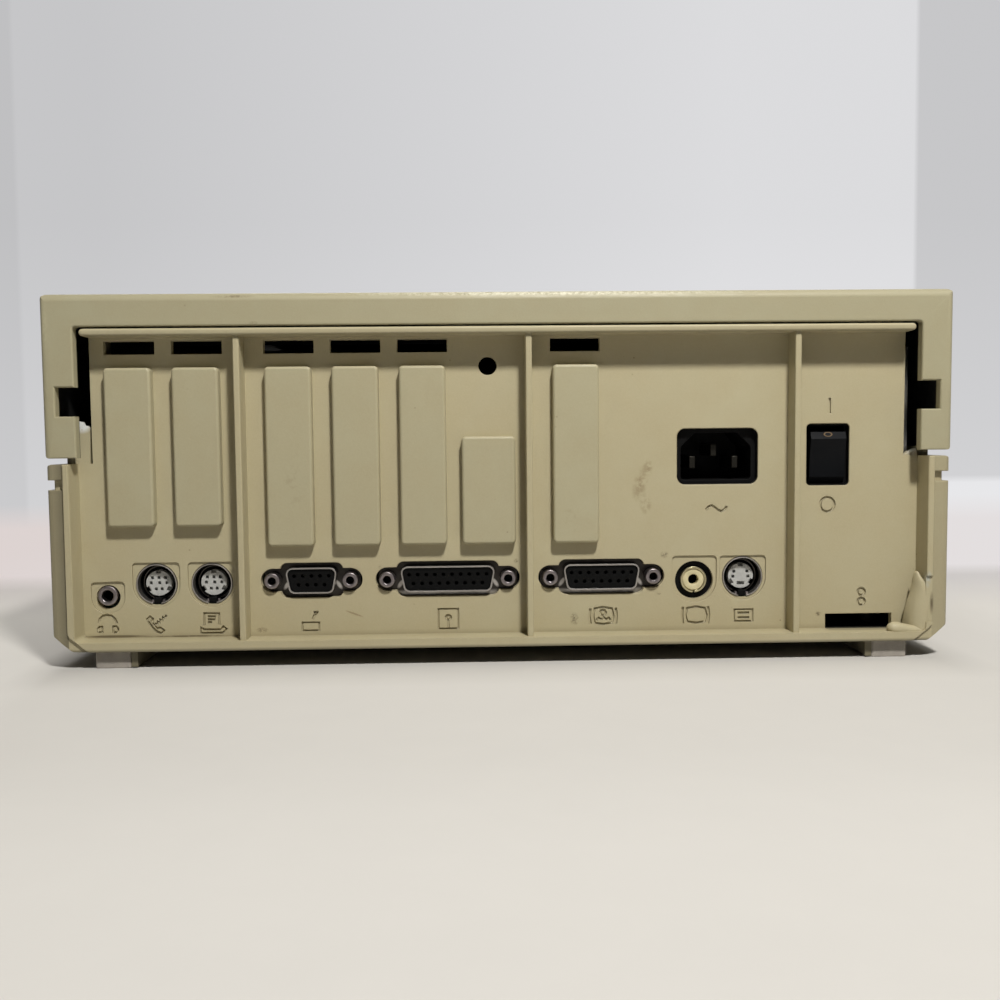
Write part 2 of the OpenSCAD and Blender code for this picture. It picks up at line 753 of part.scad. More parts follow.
module mains_inlet() color(black) translate([inlet_x, 0, inlet_z]) difference() {
    union() {
        along_y(inner_y, psu_y0) round_rect(inlet_w + 3.6, inlet_h + 3.6, 2);
        along_y(psu_y0 - eps, inner_y + inlet_depth) round_rect(inlet_pit_w + 3, inlet_pit_h + 3, 3);
    }
    along_y(inner_y - 1, inner_y + inlet_depth - 2.5)
        polygon(soften([[-inlet_pit_w / 2, -inlet_pit_h / 2], [inlet_pit_w / 2, -inlet_pit_h / 2],
            [inlet_pit_w / 2, inlet_pit_h / 2 - inlet_slope],
            [inlet_pit_w / 2 - inlet_slope, inlet_pit_h / 2],
            [inlet_slope - inlet_pit_w / 2, inlet_pit_h / 2],
            [-inlet_pit_w / 2, inlet_pit_h / 2 - inlet_slope]],
            [1.2, 1.2, 1, 1, 1, 1]));
    along_y(inner_y, far) for (p = blade_xz) translate(p) square([blade_w, blade_h], center = true);
}

module inlet_blades() color(steel) for (p = blade_xz)
    translate([inlet_x + p[0], 0, inlet_z + p[1]]) along_y(inner_y + 3, inner_y + inlet_depth + terminal_out)
        square([blade_w, blade_h], center = true);

// ---- power supply -------------------------------------------------------------------------------

lead_front = 22;
lead_up = 9;
lead_x = psu_x0;
lead_y = psu_y1 - lead_front;
lead_z = psu_z + lead_up;
lead_r = 3.2;
air_pitch = 9;            // cooling slots of the box
air_w = 3.4;
air_l = 26;
air_back = 22;
grille_pitch = 8;
grille_w = 3;

// Floor, rear and front of the box, folded from one sheet
module psu_tray() color(steel) difference() {
    union() {
        block([psu_x0 + sheet, psu_x1 - sheet], [psu_y0, psu_y1], [psu_z, psu_z + sheet]);
        for (y = [psu_y0, psu_y1 - sheet])
            block([psu_x0 + sheet, psu_x1 - sheet], [y, y + sheet], [psu_z, psu_z + psu_h - sheet]);
    }
    along_y(psu_y0 - 1, psu_y0 + sheet + 1) {
        translate([inlet_x, inlet_z]) round_rect(inlet_pit_w + 3 + 2 * slack, inlet_pit_h + 3 + 2 * slack, 3);
        translate([switch_x, switch_z])
            square([pit_w + 2 * (switch_wall + slack), pit_h + 2 * (switch_wall + slack)], center = true);
    }
    for (p = post_xy) translate([p[0], p[1], psu_z - 1]) cylinder(r = psu_screw_r + 0.3, h = sheet + 2);
    along_y(psu_y1 - sheet - 1, psu_y1 + 1) for (i = [0:6])
        translate([psu_x0 + psu_w * 0.21 + grille_pitch * i, psu_z + psu_h / 2])
            square([grille_w, psu_h * 0.61], center = true);
}

// Top and sides of the box, with rows of cooling slots
module psu_cover() color(steel) difference() {
    block([psu_x0, psu_x1], [psu_y0, psu_y1], [psu_z, psu_z + psu_h]);
    block([psu_x0 + sheet, psu_x1 - sheet], [psu_y0 - 1, psu_y1 + 1], [psu_z - 1, psu_z + psu_h - sheet]);
    for (i = [0:17]) translate([0, psu_y0 + air_back + air_pitch * i, psu_z + psu_h - sheet - 1])
        for (x = [psu_x0 + psu_w * 0.3, psu_x0 + psu_w * 0.7])
            translate([x, 0, 0]) linear_extrude(sheet + 2) capsule(air_l, air_w);
    along_x(psu_x0 - 1, psu_x1 + 1) for (i = [0:13])
        translate([psu_y0 + air_back + air_pitch * i, psu_z + psu_h * 0.6])
            square([grille_w, psu_h * 0.45], center = true);
    translate([lead_x - 1, lead_y, lead_z]) rotate([0, 90, 0]) cylinder(r = lead_r + 0.3, h = sheet + 2);
}

psu_board_up = 6;
psu_board_in = 4;
psu_board_back = 34;
psu_board_front = 6;
psu_board_z = psu_z + sheet + psu_board_up;
standoff_in = 20;
standoff_end = 24;
standoff_back = 50;
standoff_r = 3;
standoff_bore_r = 1.5;

module standoff_places() {
    for (x = [psu_x0 + standoff_in, psu_x1 - standoff_in], y = [psu_y0 + standoff_back, psu_y1 - standoff_end])
        translate([x, y, psu_z + sheet]) children();
}

module psu_board() color([0.55, 0.4, 0.2]) difference() {
    union() {
        block([psu_x0 + psu_board_in, psu_x1 - psu_board_in],
            [psu_y0 + psu_board_back, psu_y1 - psu_board_front], [psu_board_z, psu_board_z + board_t]);
        standoff_places() cylinder(r = standoff_r, h = psu_board_up + eps);
    }
    standoff_places() translate([0, 0, -1]) cylinder(r = standoff_bore_r, h = far);
}

core_w = 34;
core_l = 40;
core_h = 30;
core_yoke = 9;
core_leg = 8;
coil_r = 9;

module psu_transformer() color([0.75, 0.68, 0.3])
    translate([psu_x0 + psu_w * 0.35, psu_y0 + psu_d * 0.55, psu_board_z + board_t]) {
        leg_y = [core_yoke - core_l / 2 - eps, core_l / 2 - core_yoke + eps];
        block([-core_w / 2, core_w / 2], [-core_l / 2, core_yoke - core_l / 2], [0, core_h]);
        block([-core_w / 2, core_w / 2], [core_l / 2 - core_yoke, core_l / 2], [0, core_h]);
        block([-core_w / 2, core_leg - core_w / 2], leg_y, [0, core_h]);
        block([core_w / 2 - core_leg, core_w / 2], leg_y, [0, core_h]);
        cylinder(r = coil_r + eps, h = core_h - 1);
    }

tall_can_r = 9;
tall_can_h = 32;
can_r = 6;
can_h = 22;

module psu_capacitors() color([0.12, 0.14, 0.2]) {
    z = psu_board_z + board_t;
    for (share = [0.187, 0.444]) translate([psu_x0 + psu_w * share, psu_y0 + psu_d * 0.31, z])
        cylinder(r = tall_can_r, h = tall_can_h);
    for (share = [0.187, 0.363, 0.538]) translate([psu_x0 + psu_w * share, psu_y0 + psu_d * 0.8, z])
        cylinder(r = can_r, h = can_h);
}

sink_in = 24;
sink_l = 50;
sink_h = 36;
sink_t = 2.5;
fin_out = 12;
fin_t = 1.6;
fin_pitch = 8;
fin_low = 4;

// Two finned heat sinks that stand on the supply's board
module psu_heat_sinks() color([0.7, 0.7, 0.72]) for (share = [0.24, 0.59])
    translate([psu_x1 - sink_in, psu_y0 + psu_d * share, psu_board_z + board_t]) {
        block([0, sink_t], [0, sink_l], [0, sink_h]);
        for (i = [0:6])
            block([sink_t - eps, fin_out], [fin_pitch * i, fin_pitch * i + fin_t], [fin_low, sink_h]);
    }

head_r = 3;
head_h = 2;
screw_l = 8;

// Screws that come up through the posts into the tray
module psu_screws() color(steel) for (p = post_xy)
    translate([p[0], p[1], psu_z - screw_l]) {
        cylinder(r = psu_screw_r, h = screw_l + sheet + eps);
        translate([0, 0, screw_l + sheet]) cylinder(r = head_r, h = head_h);
    }

// ---- logic board --------------------------------------------------------------------------------

module logic_board() color(green) difference() {
    along_z(board_low, board_z) polygon([[board_x0, board_y0], [wing_x1, board_y0], [wing_x1, wing_y],
        [board_x1, wing_y], [board_x1, board_y1], [board_x0, board_y1]]);
    for (p = peg_xy) translate([p[0], p[1], board_low - 1]) cylinder(r = board_hole_r, h = board_t + 2);
}

module board_screws() color(steel) for (p = peg_xy)
    translate([p[0], p[1], board_low - 6]) {
        cylinder(r = peg_screw_r, h = 6 + board_t + eps);
        translate([0, 0, 6 + board_t]) difference() {
            cylinder(r = 3.1, h = 1.9);
            translate([-0.4, -2.4, 1.1]) cube([0.8, 4.8, 1]);
        }
    }

// Seven card connectors, each in line with its slot cover
module slot_connectors() color([0.09, 0.09, 0.1]) for (x = cover_x)
    translate([x, slot_y0 + slot_l / 2, board_z]) difference() {
        linear_extrude(slot_h) round_rect(slot_w, slot_l, 1);
        translate([-card_slit / 2, -slot_l / 2 + 4, slot_h - 8]) cube([card_slit, slot_l - 8, 9]);
        for (s = [-1, 1]) translate([s * 2.6 - 0.7, -slot_l / 2 + 6, slot_h - 1.2])
            cube([1.4, slot_l - 12, 2]);
    }

memory_l = 62;
memory_in = 12;
memory_up = 36;

module memory_connector() color([0.09, 0.09, 0.1])
    translate([board_x1 - memory_in, chip_y + memory_up, board_z])
    difference() {
        linear_extrude(slot_h) round_rect(slot_w, memory_l, 1);
        translate([-card_slit / 2, 4 - memory_l / 2, slot_h - 8]) cube([card_slit, memory_l - 8, 9]);
    }

chip_t = 3.6;
leg_rise = 0.9;
leg_pitch = 2.54;
leg_w = 1.2;
leg_t = 0.4;
chip_l = 19.3;
chip_w = 6.6;
wide_chip_w = 13.6;
processor_l = 51;
rom_l = 36;

// A dual in-line chip, l long in X and w wide in Y: body, notch, and two rows of legs
module chip(x, y, l, w) {
    n = floor(l / leg_pitch);
    translate([x, y, board_z]) {
        difference() {
            translate([0, 0, leg_rise]) linear_extrude(chip_t) square([l, w], center = true);
            translate([-l / 2, 0, leg_rise + chip_t - 0.8]) cylinder(r = 1.2, h = 2);
        }
        for (s = [-1, 1]) translate([0, s * (w + leg_t) / 2 + leg_t / 2, 0]) rotate([90, 0, 0])
            linear_extrude(leg_t) for (i = [0:n - 1])
                translate([(i - (n - 1) / 2) * leg_pitch - leg_w / 2, 0])
                    square([leg_w, leg_rise + chip_t / 2]);
    }
}

// Chips in count equal places between x0 and x1, with their middles at y
module chip_row(x0, x1, count, y) {
    for (i = [0:count - 1]) chip(x0 + (x1 - x0) * (i + 0.5) / count, y, chip_l, chip_w);
}

chip_gap = 14;
chip_y = slot_y0 + slot_l + chip_gap;
processor_in = 65.5;
processor_up = 4;
rom_up = 26;

module processor() color([0.13, 0.13, 0.14])
    chip(board_x0 + processor_in, chip_y + processor_up, processor_l, wide_chip_w);

module rom_chip() color([0.13, 0.13, 0.14])
    chip(board_x0 + processor_in, chip_y + rom_up, rom_l, wide_chip_w);

socket_w = 31;
socket_h = 5;
socket_hole = 25.2;
socket_floor = 2.2;
square_half = 12;
square_cut = 3;
custom_in = 22;
custom_far = 109;
custom_up = 10;
custom_step = 34;
custom_far_up = 12;

// Square chips in their sockets
module custom_chips() color([0.13, 0.13, 0.14])
    for (p = [[custom_in, custom_up], [custom_in, custom_up + custom_step], [custom_far, custom_far_up]])
        translate([board_x0 + p[0], chip_y + p[1], board_z]) {
            difference() {
                linear_extrude(socket_h) round_rect(socket_w, socket_w, 1.5);
                translate([0, 0, socket_floor]) linear_extrude(socket_h) square(socket_hole, center = true);
            }
            translate([0, 0, socket_floor - eps]) linear_extrude(socket_h - socket_floor + 0.4)
                polygon([[-square_half, -square_half], [square_half, -square_half], [square_half, square_half],
                    [square_cut - square_half, square_half], [-square_half, square_half - square_cut]]);
        }

memory_left = 47;
memory_right = 20;
memory_row = 52;
row_step = 14;
logic_left = 9;
logic_right = 34;
logic_row = 83;

module memory_chips() color([0.13, 0.13, 0.14]) for (row = [0:1])
    chip_row(board_x0 + memory_left, board_x1 - memory_right, 4, chip_y + memory_row + row_step * row);

module logic_chips() color([0.13, 0.13, 0.14]) {
    chip_row(board_x0 + logic_left, board_x1 - logic_right, 5, chip_y + logic_row);
    chip_row(board_x0 + logic_left, board_mid - 5, 3, chip_y + logic_row + row_step);
}

small_can_r = 2.6;
small_can_h = 8;
small_can_side = 24.5;
small_can_back = 14.5;
board_can_r = 3.2;
board_can_h = 9;
board_can_in = 28;
board_can_up = 82;
board_can_step = 9;

module board_capacitors() color([0.15, 0.2, 0.4]) {
    for (x = [dsub9_x, dsub19_x, dsub15_x])
        translate([x + small_can_side, board_y0 + small_can_back, board_z])
            cylinder(r = small_can_r, h = small_can_h);
    for (i = [0:2]) translate([board_x1 - board_can_in, chip_y + board_can_up + board_can_step * i, board_z])
        cylinder(r = board_can_r, h = board_can_h);
}

crystal_l = 11;
crystal_w = 4.8;
crystal_h = 4.2;
crystal_in = 108;
crystal_up = 36;

module crystal() color(steel) translate([board_x0 + crystal_in, chip_y + crystal_up, board_z])
    linear_extrude(crystal_h) capsule(crystal_l, crystal_w);

battery_r = 7.2;
battery_l = 25;
battery_up = 102;
battery_in = 8;           // from the middle of the board, past its screw
battery_foot = 2;

module clock_battery() color([0.75, 0.7, 0.55])
    translate([board_mid + battery_in, chip_y + battery_up, board_z]) {
        translate([0, 0, battery_r + 0.2]) rotate([0, 90, 0]) cylinder(r = battery_r, h = battery_l);
        for (x = [3, battery_l - 5]) translate([x, -5, 0]) cube([battery_foot, 10, 3]);
    }

// ---- D connectors -------------------------------------------------------------------------------

shell_h = 8.36;
shell_t = 0.5;
shell_lean = 0.74;        // inward lean of each side, top to middle
shell_out = 1.3;          // how far the shells reach outside the rear wall
flange_low = 0.8;
nut_r = 2.5;
nut_bore_r = 1.25;

// D outline, wide side up; w is its width along the top
module dee(w, h, r) {
    polygon(soften([[-w / 2 + 2 * shell_lean, -h / 2], [w / 2 - 2 * shell_lean, -h / 2],
        [w / 2, h / 2], [-w / 2, h / 2]], [r, r, r, r]));
}

function dee_w(gap) = gap - 8.1;

module dsub_shell(x, gap) color(steel) translate([x, 0, dsub_z]) difference() {
    union() {
        along_y(wall_y - shell_out, inner_y + eps) dee(dee_w(gap), shell_h, 2);
        along_y(inner_y, inner_y + flange_low) round_rect(gap + 6.1, 12.5, 1);
    }
    along_y(wall_y - shell_out - 1, inner_y + 2)
        dee(dee_w(gap) - 2 * shell_t, shell_h - 2 * shell_t, 1.6);
    for (s = [-1, 1]) bar_y(s * gap / 2, 0, inner_y - 1, inner_y + 2, nut_bore_r + 0.25);
}

// Insulator with its two rows of sockets, and the block that stands on the board
module dsub_body(x, gap, upper, lower) color(black) translate([x, 0, dsub_z]) difference() {
    union() {
        along_y(wall_y - shell_out + 0.6, inner_y + flange_low)
            dee(dee_w(gap) - 2 * shell_t - 0.1, shell_h - 2 * shell_t - 0.1, 1.5);
        along_y(inner_y + flange_low, inner_y + 12)
            translate([0, (board_z - dsub_z + 5.6) / 2])
                square([dee_w(gap) + 1, 5.6 - board_z + dsub_z], center = true);
    }
    for (i = [0:upper - 1]) bar_y((i - (upper - 1) / 2) * 2.77, 1.42, rear_y, wall_y + 1.5, 0.62);
    for (i = [0:lower - 1]) bar_y((i - (lower - 1) / 2) * 2.77, -1.42, rear_y, wall_y + 1.5, 0.62);
}

module dsub9_shell() dsub_shell(dsub9_x, dsub9_gap);
module dsub19_shell() dsub_shell(dsub19_x, dsub19_gap);
module dsub15_shell() dsub_shell(dsub15_x, dsub15_gap);
module dsub9_body() dsub_body(dsub9_x, dsub9_gap, 5, 4);
module dsub19_body() dsub_body(dsub19_x, dsub19_gap, 10, 9);
module dsub15_body() dsub_body(dsub15_x, dsub15_gap, 8, 7);

module jack_nuts() color(steel)
    for (d = [[dsub9_x, dsub9_gap], [dsub19_x, dsub19_gap], [dsub15_x, dsub15_gap]], s = [-1, 1])
        translate([d[0] + s * d[1] / 2, 0, dsub_z]) difference() {
            union() {
                bar_y(0, 0, wall_y - shell_out - 0.5, inner_y, nut_r);
                bar_y(0, 0, inner_y - eps, inner_y + 4, nut_bore_r + 0.2);
            }
            bar_y(0, 0, rear_y, inner_y - 0.4, nut_bore_r);
        }

// ---- round ports --------------------------------------------------------------------------------

collar_out = 6.5;
collar_in = 6.1;
ring_out = 5.65;
ring_in = 5.1;
insert_r = 4.1;
port_set = 4.5;           // how far the ports' faces stand behind the rear wall's face
port_y = wall_y + port_set;
port_floor = port_y + 3;  // bottom of the well in each housing
housing_y = inner_y + 0.8;
key_w = 2.6;              // width of the keyway at the bottom of each collar

// Collar that lines the wall's hole, with its mounting plate, and the contact ring down in the well
module round_port_shells() color(steel) for (x = din_x) {
    difference() {
        union() {
            bar_y(x, din_z, wall_y + 0.2, inner_y + eps, collar_out);
            along_y(inner_y, housing_y) translate([x, (board_z + din_z + 6.6) / 2])
                square([13.6, din_z - board_z + 6.6], center = true);
        }
        bar_y(x, din_z, wall_y, housing_y + 1, collar_in);
        translate([x, 0, din_z - collar_in]) along_y(wall_y, housing_y + 1)
            square([key_w, 1.6], center = true);
    }
    difference() {
        bar_y(x, din_z, port_y, port_floor, ring_out);
        bar_y(x, din_z, port_y - 1, port_floor + 1, ring_in);
    }
}

// Moulded body of a round port, with the well for its contacts and a key that fills the keyway
module round_port_housings() color(black) for (x = din_x) {
    difference() {
        along_y(housing_y, inner_y + 13) translate([x, (board_z + din_z + 6.4) / 2])
            square([13.4, din_z - board_z + 6.4], center = true);
        bar_y(x, din_z, housing_y - 1, port_floor, collar_in);
    }
    along_y(wall_y + 1, housing_y + eps) translate([x, din_z - collar_in - 0.1])
        square([key_w - 0.2, 0.4], center = true);
}

// Contact holes of an 8-way and a 4-way insert
din8_xz = [[-2.1, 1.8], [0, 1.8], [2.1, 1.8], [-2.5, 0.1], [0.2, 0.1], [2.5, 0.1], [-0.95, -1.9], [0.95, -1.9]];
din4_xz = [[-2.15, 1.4], [2.15, 1.4], [-2.5, -0.25], [2.5, -0.25]];
contact_w = 1;
four_way = 2;             // the last of the three round ports has four contacts and a slot

module round_port_inserts() color([0.72, 0.72, 0.7]) for (k = [0:2]) translate([din_x[k], 0, din_z])
    difference() {
        bar_y(0, 0, port_y + 0.2, port_floor, insert_r);
        for (p = k == four_way ? din4_xz : din8_xz) translate([p[0], 0, p[1]])
            along_y(wall_y, port_floor - 1) square([contact_w, contact_w], center = true);
        if (k == four_way) translate([0, 0, -2.4]) along_y(wall_y, port_floor - 1)
            square([2.5, 1.15], center = true);
        for (a = [90, 210, 330]) translate([insert_r * cos(a), 0, insert_r * sin(a)])
            along_y(wall_y, inner_y + 4) rotate(a) square([1.9, 1.7], center = true);
    }

phono_core_r = 3.55;
phono_pin_r = 1.66;
phono_set = 1.2;          // how far the barrel's end stands behind the rear wall's face
phono_root = inner_y + 2;
phono_split = 0.5;

// Plated barrel, split at the bottom, seated in the jack's body
module phono_barrel() color([0.78, 0.72, 0.5]) difference() {
    bar_y(phono_x, phono_z, wall_y + phono_set, phono_root, phono_r);
    bar_y(phono_x, phono_z, wall_y, phono_root + 1, phono_core_r);
    translate([phono_x, 0, phono_z - phono_r]) along_y(wall_y, wall_y + phono_set + 1.5)
        square([phono_split, 2], center = true);
}

module phono_insulator() color([0.86, 0.8, 0.55]) difference() {
    bar_y(phono_x, phono_z, wall_y + phono_set + 0.3, phono_root, phono_core_r - run_fit);
    bar_y(phono_x, phono_z, wall_y, phono_root + 1, phono_pin_r);
}

module phono_body() color(black) difference() {
    along_y(inner_y, inner_y + 11) translate([phono_x, (board_z + phono_z + 6.4) / 2])
        square([12.8, phono_z - board_z + 6.4], center = true);
    bar_y(phono_x, phono_z, inner_y - 1, phono_root, phono_r);
    bar_y(phono_x, phono_z, inner_y - 1, inner_y + 7, phono_pin_r);
}

module headphone_jack() color(black) difference() {
    along_y(inner_y + 0.2, inner_y + 14) translate([jack_x, (board_z + jack_z + 3.4) / 2])
        square([7.6, jack_z - board_z + 3.4], center = true);
    bar_y(jack_x, jack_z, inner_y - 1, inner_y + 13, jack_bore_r);
}

module headphone_bushing() color(steel) difference() {
    bar_y(jack_x, jack_z, wall_y - 0.4, inner_y + 0.2, 3.2);
    bar_y(jack_x, jack_z, wall_y - 1, inner_y + 1, jack_bore_r);
}

// ---- speaker and lamp ---------------------------------------------------------------------------

module speaker_frame() color(steel) translate([speaker_x, speaker_y, floor_z + 5]) difference() {
    union() {
        cylinder(r = speaker_r, h = 1.5);
        cylinder(r1 = speaker_r - 4, r2 = magnet_r, h = 12);
        translate([0, 0, 12 - eps]) cylinder(r = magnet_r, h = 8);
    }
    translate([0, 0, -1]) cylinder(r1 = speaker_r - 5, r2 = 13, h = 12);
}

module speaker_cone() color([0.1, 0.1, 0.1]) translate([speaker_x, speaker_y, floor_z + 4.5]) difference() {
    union() {
        cylinder(r = speaker_r - 3.3, h = 0.5);
        cylinder(r1 = speaker_r - 7.1, r2 = 7, h = 9.5);
    }
    translate([0, 0, -eps]) cylinder(r1 = speaker_r - 8.3, r2 = 6, h = 8.5);
}

module lamp_lens() color([0.75, 0.15, 0.1]) {
    translate([lamp_x, front_y, lamp_z]) rotate([90, 0, 0])
        linear_extrude(wall + eps) square([lamp_w, lamp_h], center = true);
    block([lamp_x - lamp_w / 2 - 2, lamp_x + lamp_w / 2 + 2], [front_y - wall - 1.5, front_y - wall],
        [lamp_z - lamp_h / 2 - 1.5, lamp_z + lamp_h / 2 + 1.5]);
}

lamp_y = front_y - wall - 1.5;

module lamp() color([0.8, 0.2, 0.15]) {
    bar_y(lamp_x, lamp_z, lamp_y - 6, lamp_y, 2.5);
    bar_y(lamp_x, lamp_z, lamp_y - 7, lamp_y - 6, 3);
}

// ---- leads held inside --------------------------------------------------------------------------

// A lead of radius r swept along the route's own points
module lead(route, r, sides) {
    n = len(route);
    function way(i) = unit(route[min(i + 1, n - 1)] - route[max(i - 1, 0)]);
    rings = [for (i = [0:n - 1]) let (t = way(i), side = unit(cross(t, [0.13, 0.21, 1])),
        up = cross(side, t)) for (k = [0:sides - 1])
            route[i] + r * (cos(360 * k / sides) * side + sin(360 * k / sides) * up)];
    polyhedron(points = rings, convexity = 4,
        faces = concat([[for (k = [0:sides - 1]) k]],
            [[for (k = [sides - 1:-1:0]) (n - 1) * sides + k]],
            [for (i = [0:n - 2], k = [0:sides - 1]) let (j = (k + 1) % sides)
                [i * sides + k, (i + 1) * sides + k, (i + 1) * sides + j, i * sides + j]]));
}

header_x = board_x1 - 14;
header_y = board_y1 - 26;

module power_header() color([0.85, 0.85, 0.8]) block([header_x - 6, header_x + 6],
    [header_y - 14, header_y + 14], [board_z, board_z + 6]);

module power_plug() color([0.9, 0.9, 0.86]) block([header_x - 4, header_x + 4],
    [header_y - 13, header_y + 13], [board_z + 6, board_z + 16]);

power_route = [[lead_x + sheet + 2, lead_y, lead_z], [lead_x - 3, lead_y, lead_z],
    [lead_x - 9, lead_y + 1.5, lead_z + 1.5], [lead_x - 14.5, lead_y + 6, lead_z + 1.8],
    [header_x + 0.8, header_y - 5, lead_z - 1], [header_x, header_y, lead_z - 5.5],
    [header_x, header_y, board_z + 16]];

module power_lead() color([0.2, 0.2, 0.22]) lead(power_route, lead_r - 0.2, 8);

lamp_route = [[lamp_x, lamp_y - 7, lamp_z], [lamp_x, lamp_y - 9, lamp_z], [lamp_x - 4, lamp_y - 12, lamp_z - 2],
    [lamp_x - 12, lamp_y - 17, floor_z + 5], [lamp_x - 13.5, lamp_y - 28, floor_z + 2],
    [lamp_x - 13.5, lamp_y - 60, floor_z + 2], [lamp_x - 12, board_y1 + 22, floor_z + 2],
    [lamp_x - 5, board_y1 + 8, board_z - 1], [lamp_x - 1, board_y1 + 1, board_z + 1.8],
    [lamp_x - 1, board_y1 - 6, board_z + 1.2]];

module lamp_lead() color([0.6, 0.1, 0.1]) lead(lamp_route, 1, 6);

magnet_r = 14;

speaker_route = [[speaker_x + magnet_r * cos(45), speaker_y - magnet_r * sin(45), floor_z + 23],
    [speaker_x + 12.5, speaker_y - 12.5, floor_z + 23],
    [speaker_x + 16, speaker_y - 22, floor_z + 21], [speaker_x + 20, speaker_y - 36, board_z + 2],
    [speaker_x + 20, board_y1 + 4, board_z + 1.6], [speaker_x + 20, board_y1 - 5, board_z + 1.2]];

module speaker_lead() color([0.1, 0.1, 0.1]) lead(speaker_route, 1, 6);

// ---- feet ---------------------------------------------------------------------------------------

module feet() color([0.45, 0.43, 0.4]) both_sides() for (y = foot_y)
    translate([foot_x + foot_w / 2, y + foot_l / 2, 0]) difference() {
        linear_extrude(foot_h) round_rect(foot_w, foot_l, 1);
        translate([0, 0, -1]) linear_extrude(1.6) round_rect(foot_w - 4, foot_l - 4, 1);
    }

base_case();
top_cover();
slot_cover_1();
slot_cover_2();
slot_cover_3();
slot_cover_4();
slot_cover_5();
slot_cover_6();
slot_cover_7();
power_rocker();
switch_body();
switch_terminals();
mains_inlet();
inlet_blades();
psu_tray();
psu_cover();
psu_board();
psu_transformer();
psu_capacitors();
psu_heat_sinks();
psu_screws();
logic_board();
board_screws();
slot_connectors();
memory_connector();
processor();
rom_chip();
custom_chips();
memory_chips();
logic_chips();
board_capacitors();
crystal();
clock_battery();
dsub9_shell();
dsub9_body();
dsub19_shell();
dsub19_body();
dsub15_shell();
dsub15_body();
jack_nuts();
round_port_shells();
round_port_housings();
round_port_inserts();
phono_barrel();
phono_insulator();
phono_body();
headphone_jack();
headphone_bushing();
speaker_frame();
speaker_cone();
lamp_lens();
lamp();
lamp_lead();
speaker_lead();
power_header();
power_plug();
power_lead();
feet();
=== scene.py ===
"""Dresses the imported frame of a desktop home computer: case, rear ports, switch, boards and stage."""

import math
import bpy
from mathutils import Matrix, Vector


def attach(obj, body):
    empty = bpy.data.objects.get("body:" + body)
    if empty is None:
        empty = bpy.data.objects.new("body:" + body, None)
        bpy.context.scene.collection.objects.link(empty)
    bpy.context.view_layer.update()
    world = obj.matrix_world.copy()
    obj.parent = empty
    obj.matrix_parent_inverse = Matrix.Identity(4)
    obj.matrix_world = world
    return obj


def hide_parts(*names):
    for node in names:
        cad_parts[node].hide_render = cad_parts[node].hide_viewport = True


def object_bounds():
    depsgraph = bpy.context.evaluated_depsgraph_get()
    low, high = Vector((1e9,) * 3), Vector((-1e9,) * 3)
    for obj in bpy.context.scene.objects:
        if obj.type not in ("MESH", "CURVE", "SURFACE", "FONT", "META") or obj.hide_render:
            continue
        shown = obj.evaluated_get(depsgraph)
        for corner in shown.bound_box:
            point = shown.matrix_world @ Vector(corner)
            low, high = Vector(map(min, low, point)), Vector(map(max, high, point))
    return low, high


bl_info = {
    "name": "Desktop Home Computer",
    "version": (1, 0, 0),
    "blender": (4, 5, 0),
    "location": "3D View > Sidebar > Computer",
    "description": "Builds the finished case, rear ports and inner parts round the packed frame",
    "category": "Object",
}

from contextlib import contextmanager

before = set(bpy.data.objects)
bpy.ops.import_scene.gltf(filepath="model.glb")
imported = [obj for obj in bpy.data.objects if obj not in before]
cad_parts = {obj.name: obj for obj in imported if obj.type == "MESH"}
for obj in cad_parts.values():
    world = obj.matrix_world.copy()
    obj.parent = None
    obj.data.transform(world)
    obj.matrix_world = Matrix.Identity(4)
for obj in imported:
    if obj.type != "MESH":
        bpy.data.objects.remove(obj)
CAD_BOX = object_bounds()

import bmesh
import bpy
from bpy.props import FloatProperty, FloatVectorProperty, PointerProperty
from mathutils import Matrix, Vector
from mathutils.geometry import intersect_point_line

MM = 0.001
REAR_Y = CAD_BOX[0][1] / MM     # rearmost plane of the case, in millimetres as all that follow
TOP_Z = CAD_BOX[1][2] / MM      # top face of the lid
PANEL_Y = REAR_Y + 0.8          # outer face of the side panels beside the bay
WALL_Y = REAR_Y + 8.5           # outer face of the rear wall
BLANK_Y = WALL_Y - 3.4          # front face of the slot blanks
RIM_Z = 64.6                    # top of the base's side walls
BAY_SIDE = 129.0                # half the width of the bay, where its corners turn thin
LIP_Z = 103.0                   # below the lip at the top of the bay

MERGE = 0.004 * MM              # corners nearer than this are one
FLAT = math.radians(0.5)        # faces that meet at less than this are one
HARD = math.radians(25.0)       # an edge that bends more than this stays hard until it is rounded
SHARP = math.radians(35.0)      # an edge that bends more than this is rounded
CORNER = math.radians(28.0)     # the same for the edges of which a rule decides
SMOOTH = math.radians(32.0)     # faces that meet at less than this are shaded as one
WIDE = 0.9 * MM                 # least ratio of area to outline of a wide face
LEAN = math.radians(20.0)       # the most that a corner's normal may lean from its face
WIDE_LEAN = 0.005               # the same on a wide face


# ---- sizes and colours that a user may change ----------------------------------------------------


def colour_prop(name, text, default):
    return FloatVectorProperty(name=name, description=text, default=default, subtype="COLOR",
                               size=3, min=0.0, max=1.0)


def number_prop(name, text, default, low=0.0, **more):
    return FloatProperty(name=name, description=text, default=default, min=low, **more)


def length_prop(name, text, default):
    return number_prop(name, text, default, unit="LENGTH")


def angle_prop(name, text, default):
    return FloatProperty(name=name, description=text, default=default, subtype="ANGLE")


